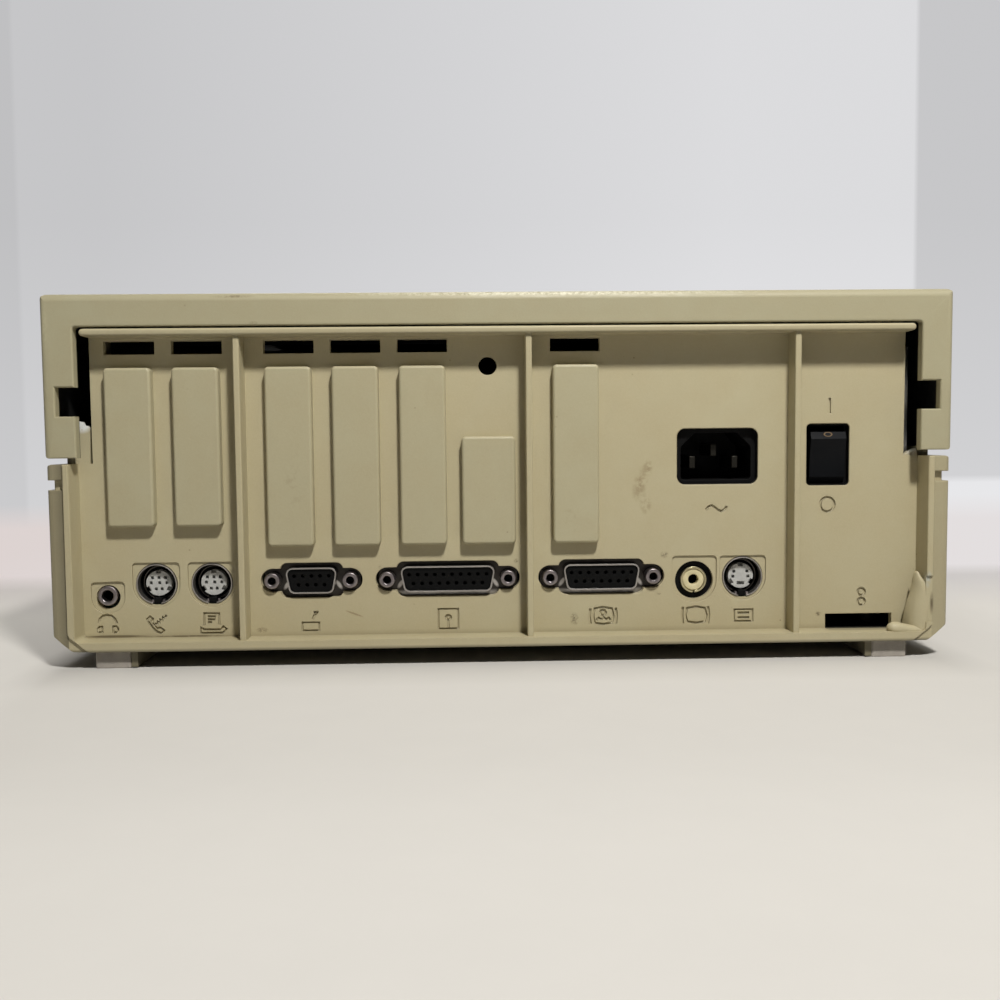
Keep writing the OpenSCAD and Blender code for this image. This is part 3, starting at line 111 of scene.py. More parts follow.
class CaseSettings(bpy.types.PropertyGroup):
    base_colour: colour_prop("Base", "Aged plastic of the base", (0.434, 0.386, 0.246))
    lid_colour: colour_prop("Lid", "Aged plastic of the top cover", (0.372, 0.341, 0.222))
    blank_colour: colour_prop("Blanks", "Plastic of the slot blanks", (0.402, 0.366, 0.238))
    coating_colour: colour_prop("Inner coating", "Dark shielding paint inside", (0.012, 0.012, 0.0115))
    edge_round: length_prop("Outer edges", "Rounding of the sill and the lip", 0.8 * MM)
    blank_round: length_prop("Blanks", "Rounding of the blanks' front edges", 0.95 * MM)
    sign_width: length_prop("Sign strokes", "Half the width of an engraved stroke", 0.48 * MM)


class PortSettings(bpy.types.PropertyGroup):
    plate_colour: colour_prop("Plate", "Dull tin plate of the nuts", (0.3, 0.27, 0.275))
    black_colour: colour_prop("Black", "Moulded insulators and switch body", (0.003, 0.003, 0.003))
    insert_colour: colour_prop("Inserts", "Pale inserts of the round ports", (0.44, 0.44, 0.42))
    barrel_colour: colour_prop("Barrel", "Plated barrel of the phono jack", (0.6, 0.54, 0.34))


class StageSettings(bpy.types.PropertyGroup):
    floor_colour: colour_prop("Floor", "Pale table", (0.56, 0.54, 0.505))
    wall_colour: colour_prop("Backdrop", "Pale wall behind the table", (0.672, 0.672, 0.686))
    key_power: number_prop("Key", "Power of the lamp above the camera", 5.0, unit="POWER")
    key_size: length_prop("Key size", "Width of the lamp above the camera", 0.07)
    front_power: number_prop("Front", "Power of the lamp on the far side of the case", 2.0, unit="POWER")
    fill_strength: number_prop("Fill", "Strength of the even light all round", 0.04)
    camera_place: FloatVectorProperty(name="Camera", description="Where the camera stands", size=3,
                                      default=(-0.0084, -0.4866, 0.072), subtype="TRANSLATION",
                                      unit="LENGTH")
    camera_yaw: angle_prop("Turn", "Turn of the camera to its right", 0.0236)
    camera_pitch: angle_prop("Dip", "How far the camera looks down", 0.0635)
    camera_roll: angle_prop("Roll", "Lean of the camera", -0.0098)
    lens: number_prop("Lens", "Focal length in millimetres", 36.0, 10.0, max=200.0)


# ---- modelling helpers ---------------------------------------------------------------------------


def deselect():
    for obj in list(bpy.context.selected_objects):
        obj.select_set(False)


def pick(*objects):
    deselect()
    for obj in objects:
        obj.select_set(True)
    bpy.context.view_layer.objects.active = objects[0]


@contextmanager
def editing(obj, action="SELECT"):
    """Edit mode on one object, with all of its mesh selected or none of it."""
    pick(obj)
    bpy.ops.object.mode_set(mode="EDIT")
    bpy.ops.mesh.select_all(action=action)
    yield
    bpy.ops.object.mode_set(mode="OBJECT")


def settle(obj):
    """Applies the modifiers, then moves the object's place into its mesh."""
    pick(obj)
    for modifier in list(obj.modifiers):
        bpy.ops.object.modifier_apply(modifier=modifier.name)
    bpy.ops.object.transform_apply(location=True, rotation=True, scale=True)
    return obj


def copy_node(node, name):
    """A free copy of a frame node, with its triangles merged back into plain faces."""
    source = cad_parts[node]
    piece = bpy.data.objects.new(name, source.data.copy())
    bpy.context.scene.collection.objects.link(piece)
    pick(piece)
    if piece.data.has_custom_normals:
        bpy.ops.mesh.customdata_custom_splitnormals_clear()
    with editing(piece):
        bpy.ops.mesh.remove_doubles(threshold=MERGE)
        bpy.ops.mesh.dissolve_limited(angle_limit=FLAT)
    piece.data.materials.clear()
    return piece


def split_wide(obj):
    """Splits every face of more than four sides, so that thin frames keep their shape."""
    with editing(obj, "DESELECT"):
        bpy.ops.mesh.select_mode(type="FACE")
        bpy.ops.mesh.select_face_by_sides(number=4, type="GREATER")
        bpy.ops.mesh.quads_convert_to_tris(quad_method="BEAUTY", ngon_method="BEAUTY")
    return obj


def round_edges(obj, width, segments):
    """Rounds every sharp edge."""
    bevel = obj.modifiers.new("edges", "BEVEL")
    bevel.limit_method = "ANGLE"
    bevel.angle_limit = SHARP
    bevel.width = width
    bevel.segments = segments
    bevel.use_clamp_overlap = True
    return split_wide(settle(obj))


def round_chosen(obj, width, rule, segments):
    """Rounds the outer edges that the rule names; it gives each edge its width in millimetres."""
    shape = bmesh.new()
    shape.from_mesh(obj.data)
    weights = shape.edges.layers.float.get("bevel_weight_edge")
    if weights is None:
        weights = shape.edges.layers.float.new("bevel_weight_edge")
    for edge in shape.edges:
        if len(edge.link_faces) != 2 or not edge.is_convex:
            continue
        if edge.calc_face_angle(0.0) < CORNER:
            continue
        a, b = (vert.co / MM for vert in edge.verts)
        edge[weights] = min(rule(a, b) * MM / width, 1.0)
    shape.to_mesh(obj.data)
    shape.free()
    pick(obj)
    bpy.ops.object.shade_smooth_by_angle(angle=HARD)
    bevel = obj.modifiers.new("edges", "BEVEL")
    bevel.limit_method = "WEIGHT"
    bevel.width = width
    bevel.segments = segments
    bevel.use_clamp_overlap = False
    bevel.harden_normals = True
    split = obj.modifiers.new("split", "TRIANGULATE")
    split.min_vertices = 5
    split.keep_custom_normals = True
    settle(obj)
    bpy.ops.object.shade_smooth_by_angle(angle=SMOOTH)
    return keep_flat(obj)


def keep_flat(obj):
    """Gives the wide faces their own normals, so that the light lies evenly on them."""
    mesh = obj.data
    normals = [Vector(corner.vector) for corner in mesh.corner_normals]
    for face in mesh.polygons:
        corners = [mesh.vertices[index].co for index in face.vertices]
        outline = sum((corners[k] - corners[k - 1]).length for k in range(len(corners)))
        most = WIDE_LEAN if face.area > WIDE * outline else LEAN
        for loop in face.loop_indices:
            if normals[loop].angle(face.normal, 0.0) > most:
                normals[loop] = face.normal.copy()
    mesh.normals_split_custom_set(normals)
    return obj


def shade(obj, angle=SMOOTH):
    """Smooths the rounded edges and keeps the wide faces flat."""
    pick(obj)
    bpy.ops.object.shade_smooth_by_angle(angle=angle)
    flat = obj.modifiers.new("flat_faces", "WEIGHTED_NORMAL")
    flat.keep_sharp = True
    return settle(obj)


def finish_piece(obj, slot, body="base", replaced=(), look=None):
    """Gives a finished piece its material, by its slot or by a look other than the slot's, which has a name,
    and its body.
    """
    obj.data.materials.clear()
    obj.data.materials.append(FINISHES[look or slot])
    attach(obj, body)
    if replaced:
        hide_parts(*replaced)
    return obj


def dress(slot, *nodes):
    """Gives frame nodes that stay in view their material."""
    for node in nodes:
        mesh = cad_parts[node].data
        mesh.materials.clear()
        mesh.materials.append(FINISHES[slot])


def rounded_copy(node, name, slot, width, segments=2, body="base", look=None):
    """A node's copy with softened edges, which stands for the node; the width is in millimetres."""
    piece = copy_node(node, name)
    round_edges(piece, width * MM, segments)
    shade(piece, SHARP)
    return finish_piece(piece, slot, body, (node,), look)


def add_block(name, centre, size, width=0.0):
    """A box from its centre and size in millimetres, with softened edges."""
    deselect()
    bpy.ops.mesh.primitive_cube_add(size=1.0, location=Vector(centre) * MM)
    obj = bpy.context.active_object
    obj.name = name
    obj.scale = Vector(size) * MM
    settle(obj)
    if width:
        round_edges(obj, width * MM, 2)
    return shade(obj)


def join(name, pieces):
    pick(*pieces)
    bpy.ops.object.join()
    obj = bpy.context.active_object
    obj.name = name
    return obj


def cut(obj, tool):
    """Takes the tool's room out of the object and removes the tool."""
    boolean = obj.modifiers.new("cut", "BOOLEAN")
    boolean.operation = "DIFFERENCE"
    boolean.solver = "EXACT"
    boolean.use_self = True
    boolean.object = tool
    pick(obj)
    bpy.ops.object.modifier_apply(modifier=boolean.name)
    bpy.data.objects.remove(tool)
    return obj


# ---- materials -----------------------------------------------------------------------------------


class Finish:
    """A procedural material, built one node at a time."""

    def __init__(self, name, colour, roughness=0.5, metallic=0.0):
        self.material = bpy.data.materials.new(name)
        self.material.use_nodes = True
        self.material.diffuse_color = (*colour, 1.0)
        self.tree = self.material.node_tree
        self.shader = self.tree.nodes["Principled BSDF"]
        self.set(Base_Color=tuple(colour), Roughness=roughness, Metallic=metallic)
        self.place = self.node("ShaderNodeTexCoord").outputs["Object"]
        self.height = None

    def node(self, kind, **values):
        node = self.tree.nodes.new(kind)
        for key, value in values.items():
            setattr(node, key, value)
        return node

    def feed(self, socket, value):
        if isinstance(value, bpy.types.NodeSocket):
            self.tree.links.new(value, socket)
        elif isinstance(value, (tuple, list)) and len(value) == 3 and socket.type == "RGBA":
            socket.default_value = (*value, 1.0)
        else:
            socket.default_value = value

    def fill(self, node, **inputs):
        """Feeds the node's inputs by their names, with a low line for each space."""
        for key, value in inputs.items():
            self.feed(node.inputs[key.replace("_", " ")], value)
        return node

    def set(self, **inputs):
        self.fill(self.shader, **inputs)
        return self

    def noise(self, scale, detail=3.0, roughness=0.55, vector=None):
        node = self.node("ShaderNodeTexNoise")
        self.fill(node, Vector=vector or self.place, Scale=scale, Detail=detail, Roughness=roughness)
        return node.outputs["Fac"]

    def cells(self, scale):
        node = self.node("ShaderNodeTexVoronoi")
        return self.fill(node, Vector=self.place, Scale=scale).outputs["Distance"]

    def stretched(self, scale):
        node = self.node("ShaderNodeMapping")
        return self.fill(node, Vector=self.place, Scale=scale).outputs["Vector"]

    def range(self, value, low, high, to_low=0.0, to_high=1.0):
        node = self.node("ShaderNodeMapRange", clamp=True)
        self.fill(node, Value=value, From_Min=low, From_Max=high, To_Min=to_low, To_Max=to_high)
        return node.outputs["Result"]

    def ramp(self, value, low, high, to_low=0.0, to_high=1.0):
        """The range between two places in millimetres."""
        return self.range(value, low * MM, high * MM, to_low, to_high)

    def math(self, operation, a, b=0.0):
        node = self.node("ShaderNodeMath", operation=operation)
        self.feed(node.inputs[0], a)
        self.feed(node.inputs[1], b)
        return node.outputs[0]

    def both(self, a, b):
        return self.math("MULTIPLY", a, b)

    def either(self, a, b):
        return self.math("MAXIMUM", a, b)

    def mix(self, factor, a, b, blend="MIX"):
        node = self.node("ShaderNodeMix", data_type="RGBA", blend_type=blend)
        return self.fill(node, Factor=factor, A=a, B=b).outputs["Result"]

    def grey(self, value):
        node = self.node("ShaderNodeCombineXYZ")
        for socket in node.inputs:
            self.feed(socket, value)
        return node.outputs[0]

    def blend(self, factor, a, b):
        """A shader that turns from a into b as the factor rises."""
        node = self.node("ShaderNodeMixShader")
        for socket, value in zip(node.inputs, (factor, a.outputs[0], b.outputs[0])):
            self.feed(socket, value)
        return node

    def dimmed(self, colour, factor):
        return self.mix(1.0, colour, self.grey(factor), "MULTIPLY")

    def worn(self, colour, patch, low, high, amount, tone):
        """The colour with a darker tone in the patches of a noise."""
        return self.mix(self.range(patch, low, high, 0.0, amount), colour, tone)

    def ring(self, centre, size, thick):
        """One on a thin ellipse round the centre in X and Z, in millimetres."""
        x, _, z = self.axes()
        across = self.math("DIVIDE", self.math("SUBTRACT", x, centre[0] * MM), size[0] * MM)
        along = self.math("DIVIDE", self.math("SUBTRACT", z, centre[1] * MM), size[1] * MM)
        reach = self.math("SQRT", self.math("ADD", self.both(across, across), self.both(along, along)))
        off = self.math("ABSOLUTE", self.math("SUBTRACT", reach, 1.0))
        return self.range(off, thick * 0.7, thick, 1.0, 0.0)

    def axes(self):
        node = self.node("ShaderNodeSeparateXYZ")
        self.feed(node.inputs[0], self.place)
        return node.outputs["X"], node.outputs["Y"], node.outputs["Z"]

    def mark(self, centre, size, turn=(0, 0, 0)):
        """One at the centre and none past the size, in millimetres, for a mark in one place."""
        node = self.node("ShaderNodeMapping", vector_type="TEXTURE")
        self.fill(node, Vector=self.place, Location=Vector(centre) * MM, Rotation=turn,
                  Scale=Vector(size) * MM)
        length = self.node("ShaderNodeVectorMath", operation="LENGTH")
        self.feed(length.inputs[0], node.outputs["Vector"])
        return self.range(length.outputs["Value"], 0.0, 1.0, 1.0, 0.0)

    def inside(self, value, low, high, soft=0.4):
        """One where the value lies between low and high, in millimetres."""
        rise = self.ramp(value, low, low + soft)
        fall = self.ramp(value, high - soft, high, 1.0, 0.0)
        return self.both(rise, fall)

    def bump(self, height, distance, strength):
        node = self.node("ShaderNodeBump")
        self.fill(node, Strength=strength, Distance=distance * MM, Height=height)
        if self.height is not None:
            self.fill(node, Normal=self.height)
        self.height = node.outputs["Normal"]
        self.set(Normal=self.height)

    def colour(self, value):
        self.set(Base_Color=value)

    def gloss(self, value):
        self.set(Roughness=value)


def tinted(colour, factor, warm=0.0):
    """The colour made lighter or darker, and a little warmer."""
    return tuple(min(max(part * factor * (1.0 + warm * side), 0.0), 1.0)
                 for part, side in zip(colour, (1.0, 0.0, -1.0)))


def aged_plastic(name, colour, marks, roughness=0.5):
    """Moulded plastic that has yellowed unevenly, with fine grain, dust specks and faint stains."""
    finish = Finish(name, colour, roughness)
    broad = finish.noise(11.0, 3.0, 0.5)
    blotch = finish.noise(75.0, 4.0, 0.6)
    dark, light = tinted(colour, 0.965, 0.01), tinted(colour, 1.03, -0.01)
    base = finish.mix(finish.range(broad, 0.35, 0.65), dark, light)
    base = finish.mix(finish.range(blotch, 0.3, 0.72), base, tinted(colour, 0.94, 0.03))
    grain = finish.noise(2300.0, 2.0, 0.6)
    base = finish.mix(finish.range(grain, 0.35, 0.75, 0.0, 0.35), base, tinted(colour, 1.1))
    specks = finish.range(finish.cells(170.0), 0.035, 0.06, 1.0, 0.0)
    thin = finish.range(finish.noise(38.0, 2.0), 0.58, 0.66)
    specks = finish.both(specks, thin)
    base = finish.mix(finish.both(specks, 0.55), base, tinted(colour, 0.35, 0.1))
    finish.colour(marks(finish, base, colour))
    finish.gloss(finish.range(finish.noise(230.0, 3.0), 0.3, 0.7, roughness - 0.07, roughness + 0.08))
    finish.bump(finish.noise(1500.0, 2.0, 0.6), 0.05, 0.45)
    finish.bump(finish.noise(40.0, 2.0), 0.12, 0.25)
    return finish.set(Specular_IOR_Level=0.4)


def paint_marks(finish, base, stains):
    """Lays broken marks over the base colour, each in one place: stains, painted shade and painted
    highlights.

    A mark is its centre and size in millimetres, its colour, its strength, the scale and the range of
    the noise that breaks it up, and its lean in the plane of the wall.
    """
    for centre, size, colour, amount, scale, low, high, lean in stains:
        spot = finish.both(finish.mark(centre, size, (0, lean, 0)),
                           finish.range(finish.noise(scale, 4.0, 0.65), low, high))
        base = finish.mix(finish.math("MINIMUM", finish.both(spot, amount), 1.0), base, colour)
    return base


def coated(finish, base, *walls):
    """Dark shielding paint on the inner faces, which lie inside all of the walls."""
    within = walls[0]
    for wall in walls[1:]:
        within = finish.both(within, wall)
    return finish.mix(within, base, CASE_PAINT["coating"])


def base_marks(finish, base, colour):
    x, y, z = finish.axes()
    # dark tone for dirt in the scuffs, and for painted shade in the crack and in the crease at the sill
    grime_and_shade = tinted(colour, 0.28, 0.12)
    soft = tinted(colour, 0.62, 0.1)
    pale = (0.72, 0.73, 0.7)
    # rubbed dirt to the left of the inlet and below it, then a thin scratch
    rubbed = (((44.5, WALL_Y, 56.5), (2.6, 3.0, 6.5), soft, 1.5, 420.0, 0.42, 0.62, 0.25),
              ((46.2, WALL_Y, 50.0), (2.2, 3.0, 4.0), soft, 1.4, 500.0, 0.42, 0.6, 0.0),
              ((47.0, WALL_Y, 61.5), (2.0, 3.0, 3.0), soft, 1.1, 700.0, 0.45, 0.6, 0.0),
              ((-48.2, WALL_Y, 15.3), (3.3, 2.0, 0.35), soft, 2.6, 900.0, 0.3, 0.5, 0.36))
    # scuffs beside the D connectors and the signs: place in X and Z, width and height
    scuffs = tuple(((across, WALL_Y, up), (wide, 2.0, high), grime_and_shade, 1.3, 1300.0, 0.4, 0.6, 0.0)
                   for across, up, wide, high in (
                       (50.5, 20.5, 0.8, 0.45), (52.3, 33.2, 1.5, 1.3), (-39.7, 30.3, 0.6, 0.7),
                       (4.2, 31.8, 0.9, 0.9), (3.6, 23.6, 0.9, 0.8), (-78.0, 10.4, 2.2, 1.0),
                       (23.0, 12.6, 1.6, 2.4), (102.8, 13.2, 1.2, 0.9)))
    # whitened plastic where it was torn, with painted shade along its crack
    torn = (((-133.4, WALL_Y, RIM_Z + 12.2), (3.4, 5.0, 2.8), pale, 1.9, 500.0, 0.25, 0.45, 0.0),
            ((133.0, WALL_Y, RIM_Z + 1.5), (3.0, 4.0, 2.0), pale, 0.8, 500.0, 0.35, 0.55, 0.0),
            ((135.3, REAR_Y, 25.2), (1.3, 4.0, 3.2), (0.42, 0.43, 0.37), 1.2, 600.0, 0.3, 0.5, 0.0),
            # painted shade in the crack beside the torn stretch
            ((136.6, REAR_Y, 17.5), (0.8, 4.0, 4.2), grime_and_shade, 1.3, 500.0, 0.25, 0.5, 0.0))
    # dirt and painted shade in the crease where the wall meets the sill
    sill_shade_and_dirt = (((-125.0, WALL_Y, 9.0), (12.0, 3.0, 0.5), grime_and_shade, 2.2, 300.0, 0.25, 0.45, 0.0),
               ((-102.0, WALL_Y, 8.8), (18.0, 3.0, 0.35), grime_and_shade, 1.6, 300.0, 0.35, 0.55, 0.0))
    base = paint_marks(finish, base, rubbed + scuffs + torn + sill_shade_and_dirt)
    # the side panels are painted darker towards the frame, as the shade beside it, and the foot of the case
    # is painted dark, as the shade beneath it
    left = finish.either(finish.ramp(x, -142.2, -137.2, 0.75, 0.42), finish.ramp(x, -136.9, -136.6))
    right = finish.ramp(x, 136.6, 136.9, 1.0, 0.84)
    base = finish.dimmed(base, finish.either(finish.both(left, right), finish.ramp(y, -172.8, -171.5)))
    base = finish.mix(finish.ramp(z, 5.8, 6.6, 0.75, 0.0), base, tinted(colour, 0.15))
    # dust and painted shade along the foot of the bay's wall
    foot_shade_and_dust = finish.both(finish.ramp(z, 8.4, 10.2, 1.0, 0.0), finish.ramp(y, -170.5, -166.0))
    base = finish.mix(finish.both(foot_shade_and_dust, 0.35), base, tinted(colour, 0.5, 0.05))
    # painted shade in the engraved signs
    groove_shade = finish.both(finish.ramp(y, -165.47, -165.35), finish.ramp(y, -165.03, -164.93, 1.0, 0.0))
    base = finish.mix(finish.both(groove_shade, 0.6), base, tinted(colour, 0.3, 0.1))
    # painted shade on the lower half of the lip's front
    lip = finish.either(finish.ramp(z, 104.3, 105.7, 0.8, 1.0), finish.ramp(y, -173.5, -172.5))
    base = finish.dimmed(base, finish.either(lip, finish.ramp(z, 103.5, 103.0)))
    # the narrow sides of the inlet's and the switch's cut-outs are painted near black, as shade
    sides = finish.either(finish.inside(x, 52.2, 86.8), finish.inside(x, 95.5, 115.3))
    sides = finish.both(sides, finish.inside(z, 52.2, 78.5))
    sides = finish.both(sides, finish.inside(y, -165.3, -155.0, 0.3))
    base = finish.mix(sides, base, (0.006, 0.006, 0.006))
    return coated(finish, base, finish.inside(x, -140.0, 140.0), finish.inside(y, -163.5, 172.0),
                  finish.inside(z, 7.5, 64.5))


def lid_marks(finish, base, colour):
    x, y, z = finish.axes()
    soft = tinted(colour, 0.55, 0.1)
    base = paint_marks(finish, base, (
        ((-83.0, REAR_Y, 115.8), (8.0, 3.0, 0.6), soft, 1.5, 700.0, 0.4, 0.6, 0.0),
        ((-76.5, REAR_Y, 107.6), (1.6, 3.0, 0.7), soft, 1.2, 900.0, 0.4, 0.6, 0.0),
        ((-140.5, REAR_Y, 107.0), (1.6, 5.0, 9.0), tinted(colour, 1.25), 0.8, 700.0, 0.35, 0.6, 0.0),
        # a painted highlight along the middle of the lid's top edge
        ((15.0, REAR_Y, 116.4), (75.0, 2.5, 1.1), (0.85, 0.82, 0.66), 1.1, 900.0, 0.35, 0.6, 0.0)))
    return coated(finish, base, finish.inside(x, -140.0, 140.0), finish.inside(y, -171.0, 172.0),
                  finish.ramp(z, 115.6, 116.0, 1.0, 0.0))


def blank_marks(finish, base, colour):
    soft = tinted(colour, 0.6, 0.08)
    return paint_marks(finish, base, (
        ((-66.0, BLANK_Y, 58.0), (4.0, 2.0, 14.0), soft, 0.5, 260.0, 0.5, 0.7, 0.0),
        ((22.0, BLANK_Y, 46.0), (3.5, 2.0, 6.0), soft, 0.5, 300.0, 0.5, 0.7, 0.0)))


# centres and radii of the small bores in the rear wall's plane, in millimetres
NUT_Z = 26.4
NUT_BORES = [(nut_x, NUT_Z, 1.3) for nut_x in (-74.2, -49.2, -37.4, 1.6, 15.1, 48.5)]
HEADPHONE_BORE = (-126.9, 22.2, 1.9)


def dull_plate(name, colour, roughness=0.32, dulled=0.5):
    """Tin or nickel plate with fine rolling lines and dull patches."""
    finish = Finish(name, colour, roughness, 1.0)
    finish.patch = finish.noise(260.0, 4.0, 0.65)
    finish.plate = finish.worn(colour, finish.patch, 0.4, 0.7, dulled, tinted(colour, 0.5, 0.08))
    finish.colour(finish.plate)
    finish.gloss(finish.range(finish.patch, 0.3, 0.7, roughness - 0.06, roughness + 0.16))
    finish.bump(finish.noise(900.0, 3.0, 0.6), 0.02, 0.4)
    return finish


def shell_plate(name, colour):
    """Plate of the D connectors: painted dark as shade on the flange, with painted light on the shell's front
    edge, the flange's lower part and beside the nuts.
    """
    finish = dull_plate(name, colour, 0.38, 0.4)
    x, y, z = finish.axes()
    rim_lit = finish.ramp(y, -166.4, -166.75, 0.0, 0.8)
    # painted light on the flange's lower part
    low = finish.both(finish.ramp(z, 22.6, 21.6), finish.ramp(x, -45.0, -43.0))
    painted_light = finish.either(rim_lit, finish.both(low, 0.75))
    for (nut_x, nut_z, _), side in zip(NUT_BORES, (1, -1, 1, -1, 1, -1)):
        place = (nut_x + side * 4.1, WALL_Y, nut_z - 1.9)
        tip_lit = finish.range(finish.mark(place, (0.9, 9.0, 2.3), (0, 0.6 * side, 0)), 0.1, 0.5)
        painted_light = finish.either(tip_lit, painted_light)
    # the flange is painted dark, as shade, away from the painted light
    finish.colour(finish.mix(painted_light, tinted(colour, 0.09, 0.05), finish.plate))
    return finish


def bored_plate(name, colour):
    """Plate whose small bores are painted dark, as the shade inside them: the jack nuts and the headphone
    bushing.
    """
    finish = dull_plate(name, colour)
    dark = 0.0
    for x, z, radius in (*NUT_BORES, HEADPHONE_BORE):
        bore_shade = finish.range(finish.mark((x, WALL_Y, z), (radius, 9.0, radius)), 0.0, 0.12)
        dark = finish.either(bore_shade, dark)
    finish.colour(finish.mix(dark, finish.plate, (0.004, 0.004, 0.004)))
    return finish


def collar_plate(name, colour):
    """Plate that keeps its colour on the collars in front and is painted dark, as shade, on the rings down in
    the wells.
    """
    finish = dull_plate(name, colour, 0.34, 0.5)
    _, y, _ = finish.axes()
    well_shade = finish.ramp(y, -162.5, -161.2)
    finish.colour(finish.mix(well_shade, colour, tinted(colour, 0.16, 0.05)))
    return finish


def black_moulding(name, colour, roughness=0.55, shine=0.12):
    """Black moulded plastic with a faint grain and a little pale dust."""
    finish = Finish(name, colour, roughness)
    dust = finish.range(finish.noise(420.0, 4.0, 0.7), 0.55, 0.85, 0.0, 0.25)
    finish.colour(finish.mix(dust, colour, tinted(colour, 2.4)))
    finish.gloss(finish.range(finish.noise(300.0, 3.0), 0.3, 0.7, roughness - 0.08, roughness + 0.12))
    finish.bump(finish.noise(1800.0, 2.0, 0.6), 0.03, 0.4)
    return finish.set(Specular_IOR_Level=shine)


def rocker_moulding(name, colour):
    """Smooth black with a small pale ring near the rocker's upper end."""
    finish = black_moulding(name, colour, 0.36, 0.1)
    sign = finish.ring((105.3, 71.65), (1.2, 0.65), 0.22)
    finish.colour(finish.mix(sign, colour, (0.13, 0.085, 0.045)))
    return finish


def plain_moulding(name, colour, roughness=0.45, spread=0.12, scale=160.0):
    """A moulded or cast part with soft shifts of tone and a fine grain."""
    finish = Finish(name, colour, roughness)
    tone = finish.noise(scale, 4.0, 0.6)
    dark, light = tinted(colour, 1.0 - spread), tinted(colour, 1.0 + spread)
    finish.colour(finish.mix(finish.range(tone, 0.3, 0.7), dark, light))
    finish.gloss(finish.range(tone, 0.3, 0.7, roughness - 0.05, roughness + 0.08))
    finish.bump(finish.noise(1600.0, 2.0, 0.6), 0.03, 0.4)
    return finish


def sheet_metal(name, colour, roughness=0.34):
    """Rolled sheet with long fine lines and a few dull smears."""
    finish = Finish(name, colour, roughness, 1.0)
    lines = finish.noise(60.0, 3.0, 0.6, finish.stretched((1.0, 26.0, 26.0)))
    smear = finish.noise(22.0, 3.0, 0.6)
    base = finish.worn(colour, lines, 0.3, 0.7, 0.5, tinted(colour, 0.8))
    finish.colour(finish.worn(base, smear, 0.45, 0.75, 0.35, tinted(colour, 0.6, 0.05)))
    finish.gloss(finish.range(smear, 0.3, 0.7, roughness - 0.05, roughness + 0.15))
    finish.bump(lines, 0.02, 0.3)
    return finish


def circuit_board(name, colour, copper, trace=0.5):
    """Laminate under solder mask, with a net of traces and scattered pads."""
    finish = Finish(name, colour, 0.32)
    bend = finish.node("ShaderNodeTexBrick", offset=0.37, squash=1.0)
    finish.fill(bend, Vector=finish.place, Scale=1.0, Color1=(0, 0, 0), Color2=(0.25, 0.25, 0.25),
                Mortar=(1, 1, 1), Mortar_Size=0.22 * MM, Mortar_Smooth=0.15, Brick_Width=17.1 * MM,
                Row_Height=1.27 * MM)
    gate = finish.range(finish.cells(46.0), 0.32, 0.34)
    traces = finish.both(bend.outputs["Color"], gate)
    pads = finish.range(finish.cells(390.0), 0.12, 0.16, 1.0, 0.0)
    pads = finish.both(pads, finish.range(finish.noise(60.0, 1.0), 0.5, 0.55))
    tone = finish.mix(finish.range(finish.noise(50.0), 0.3, 0.7), tinted(colour, 0.85), tinted(colour, 1.15))
    tone = finish.mix(finish.both(traces, trace), tone, tinted(colour, 1.9))
    finish.colour(finish.mix(pads, tone, copper))
    finish.gloss(finish.range(pads, 0.0, 1.0, 0.34, 0.25))
    finish.bump(traces, 0.05, 0.5)
    return finish


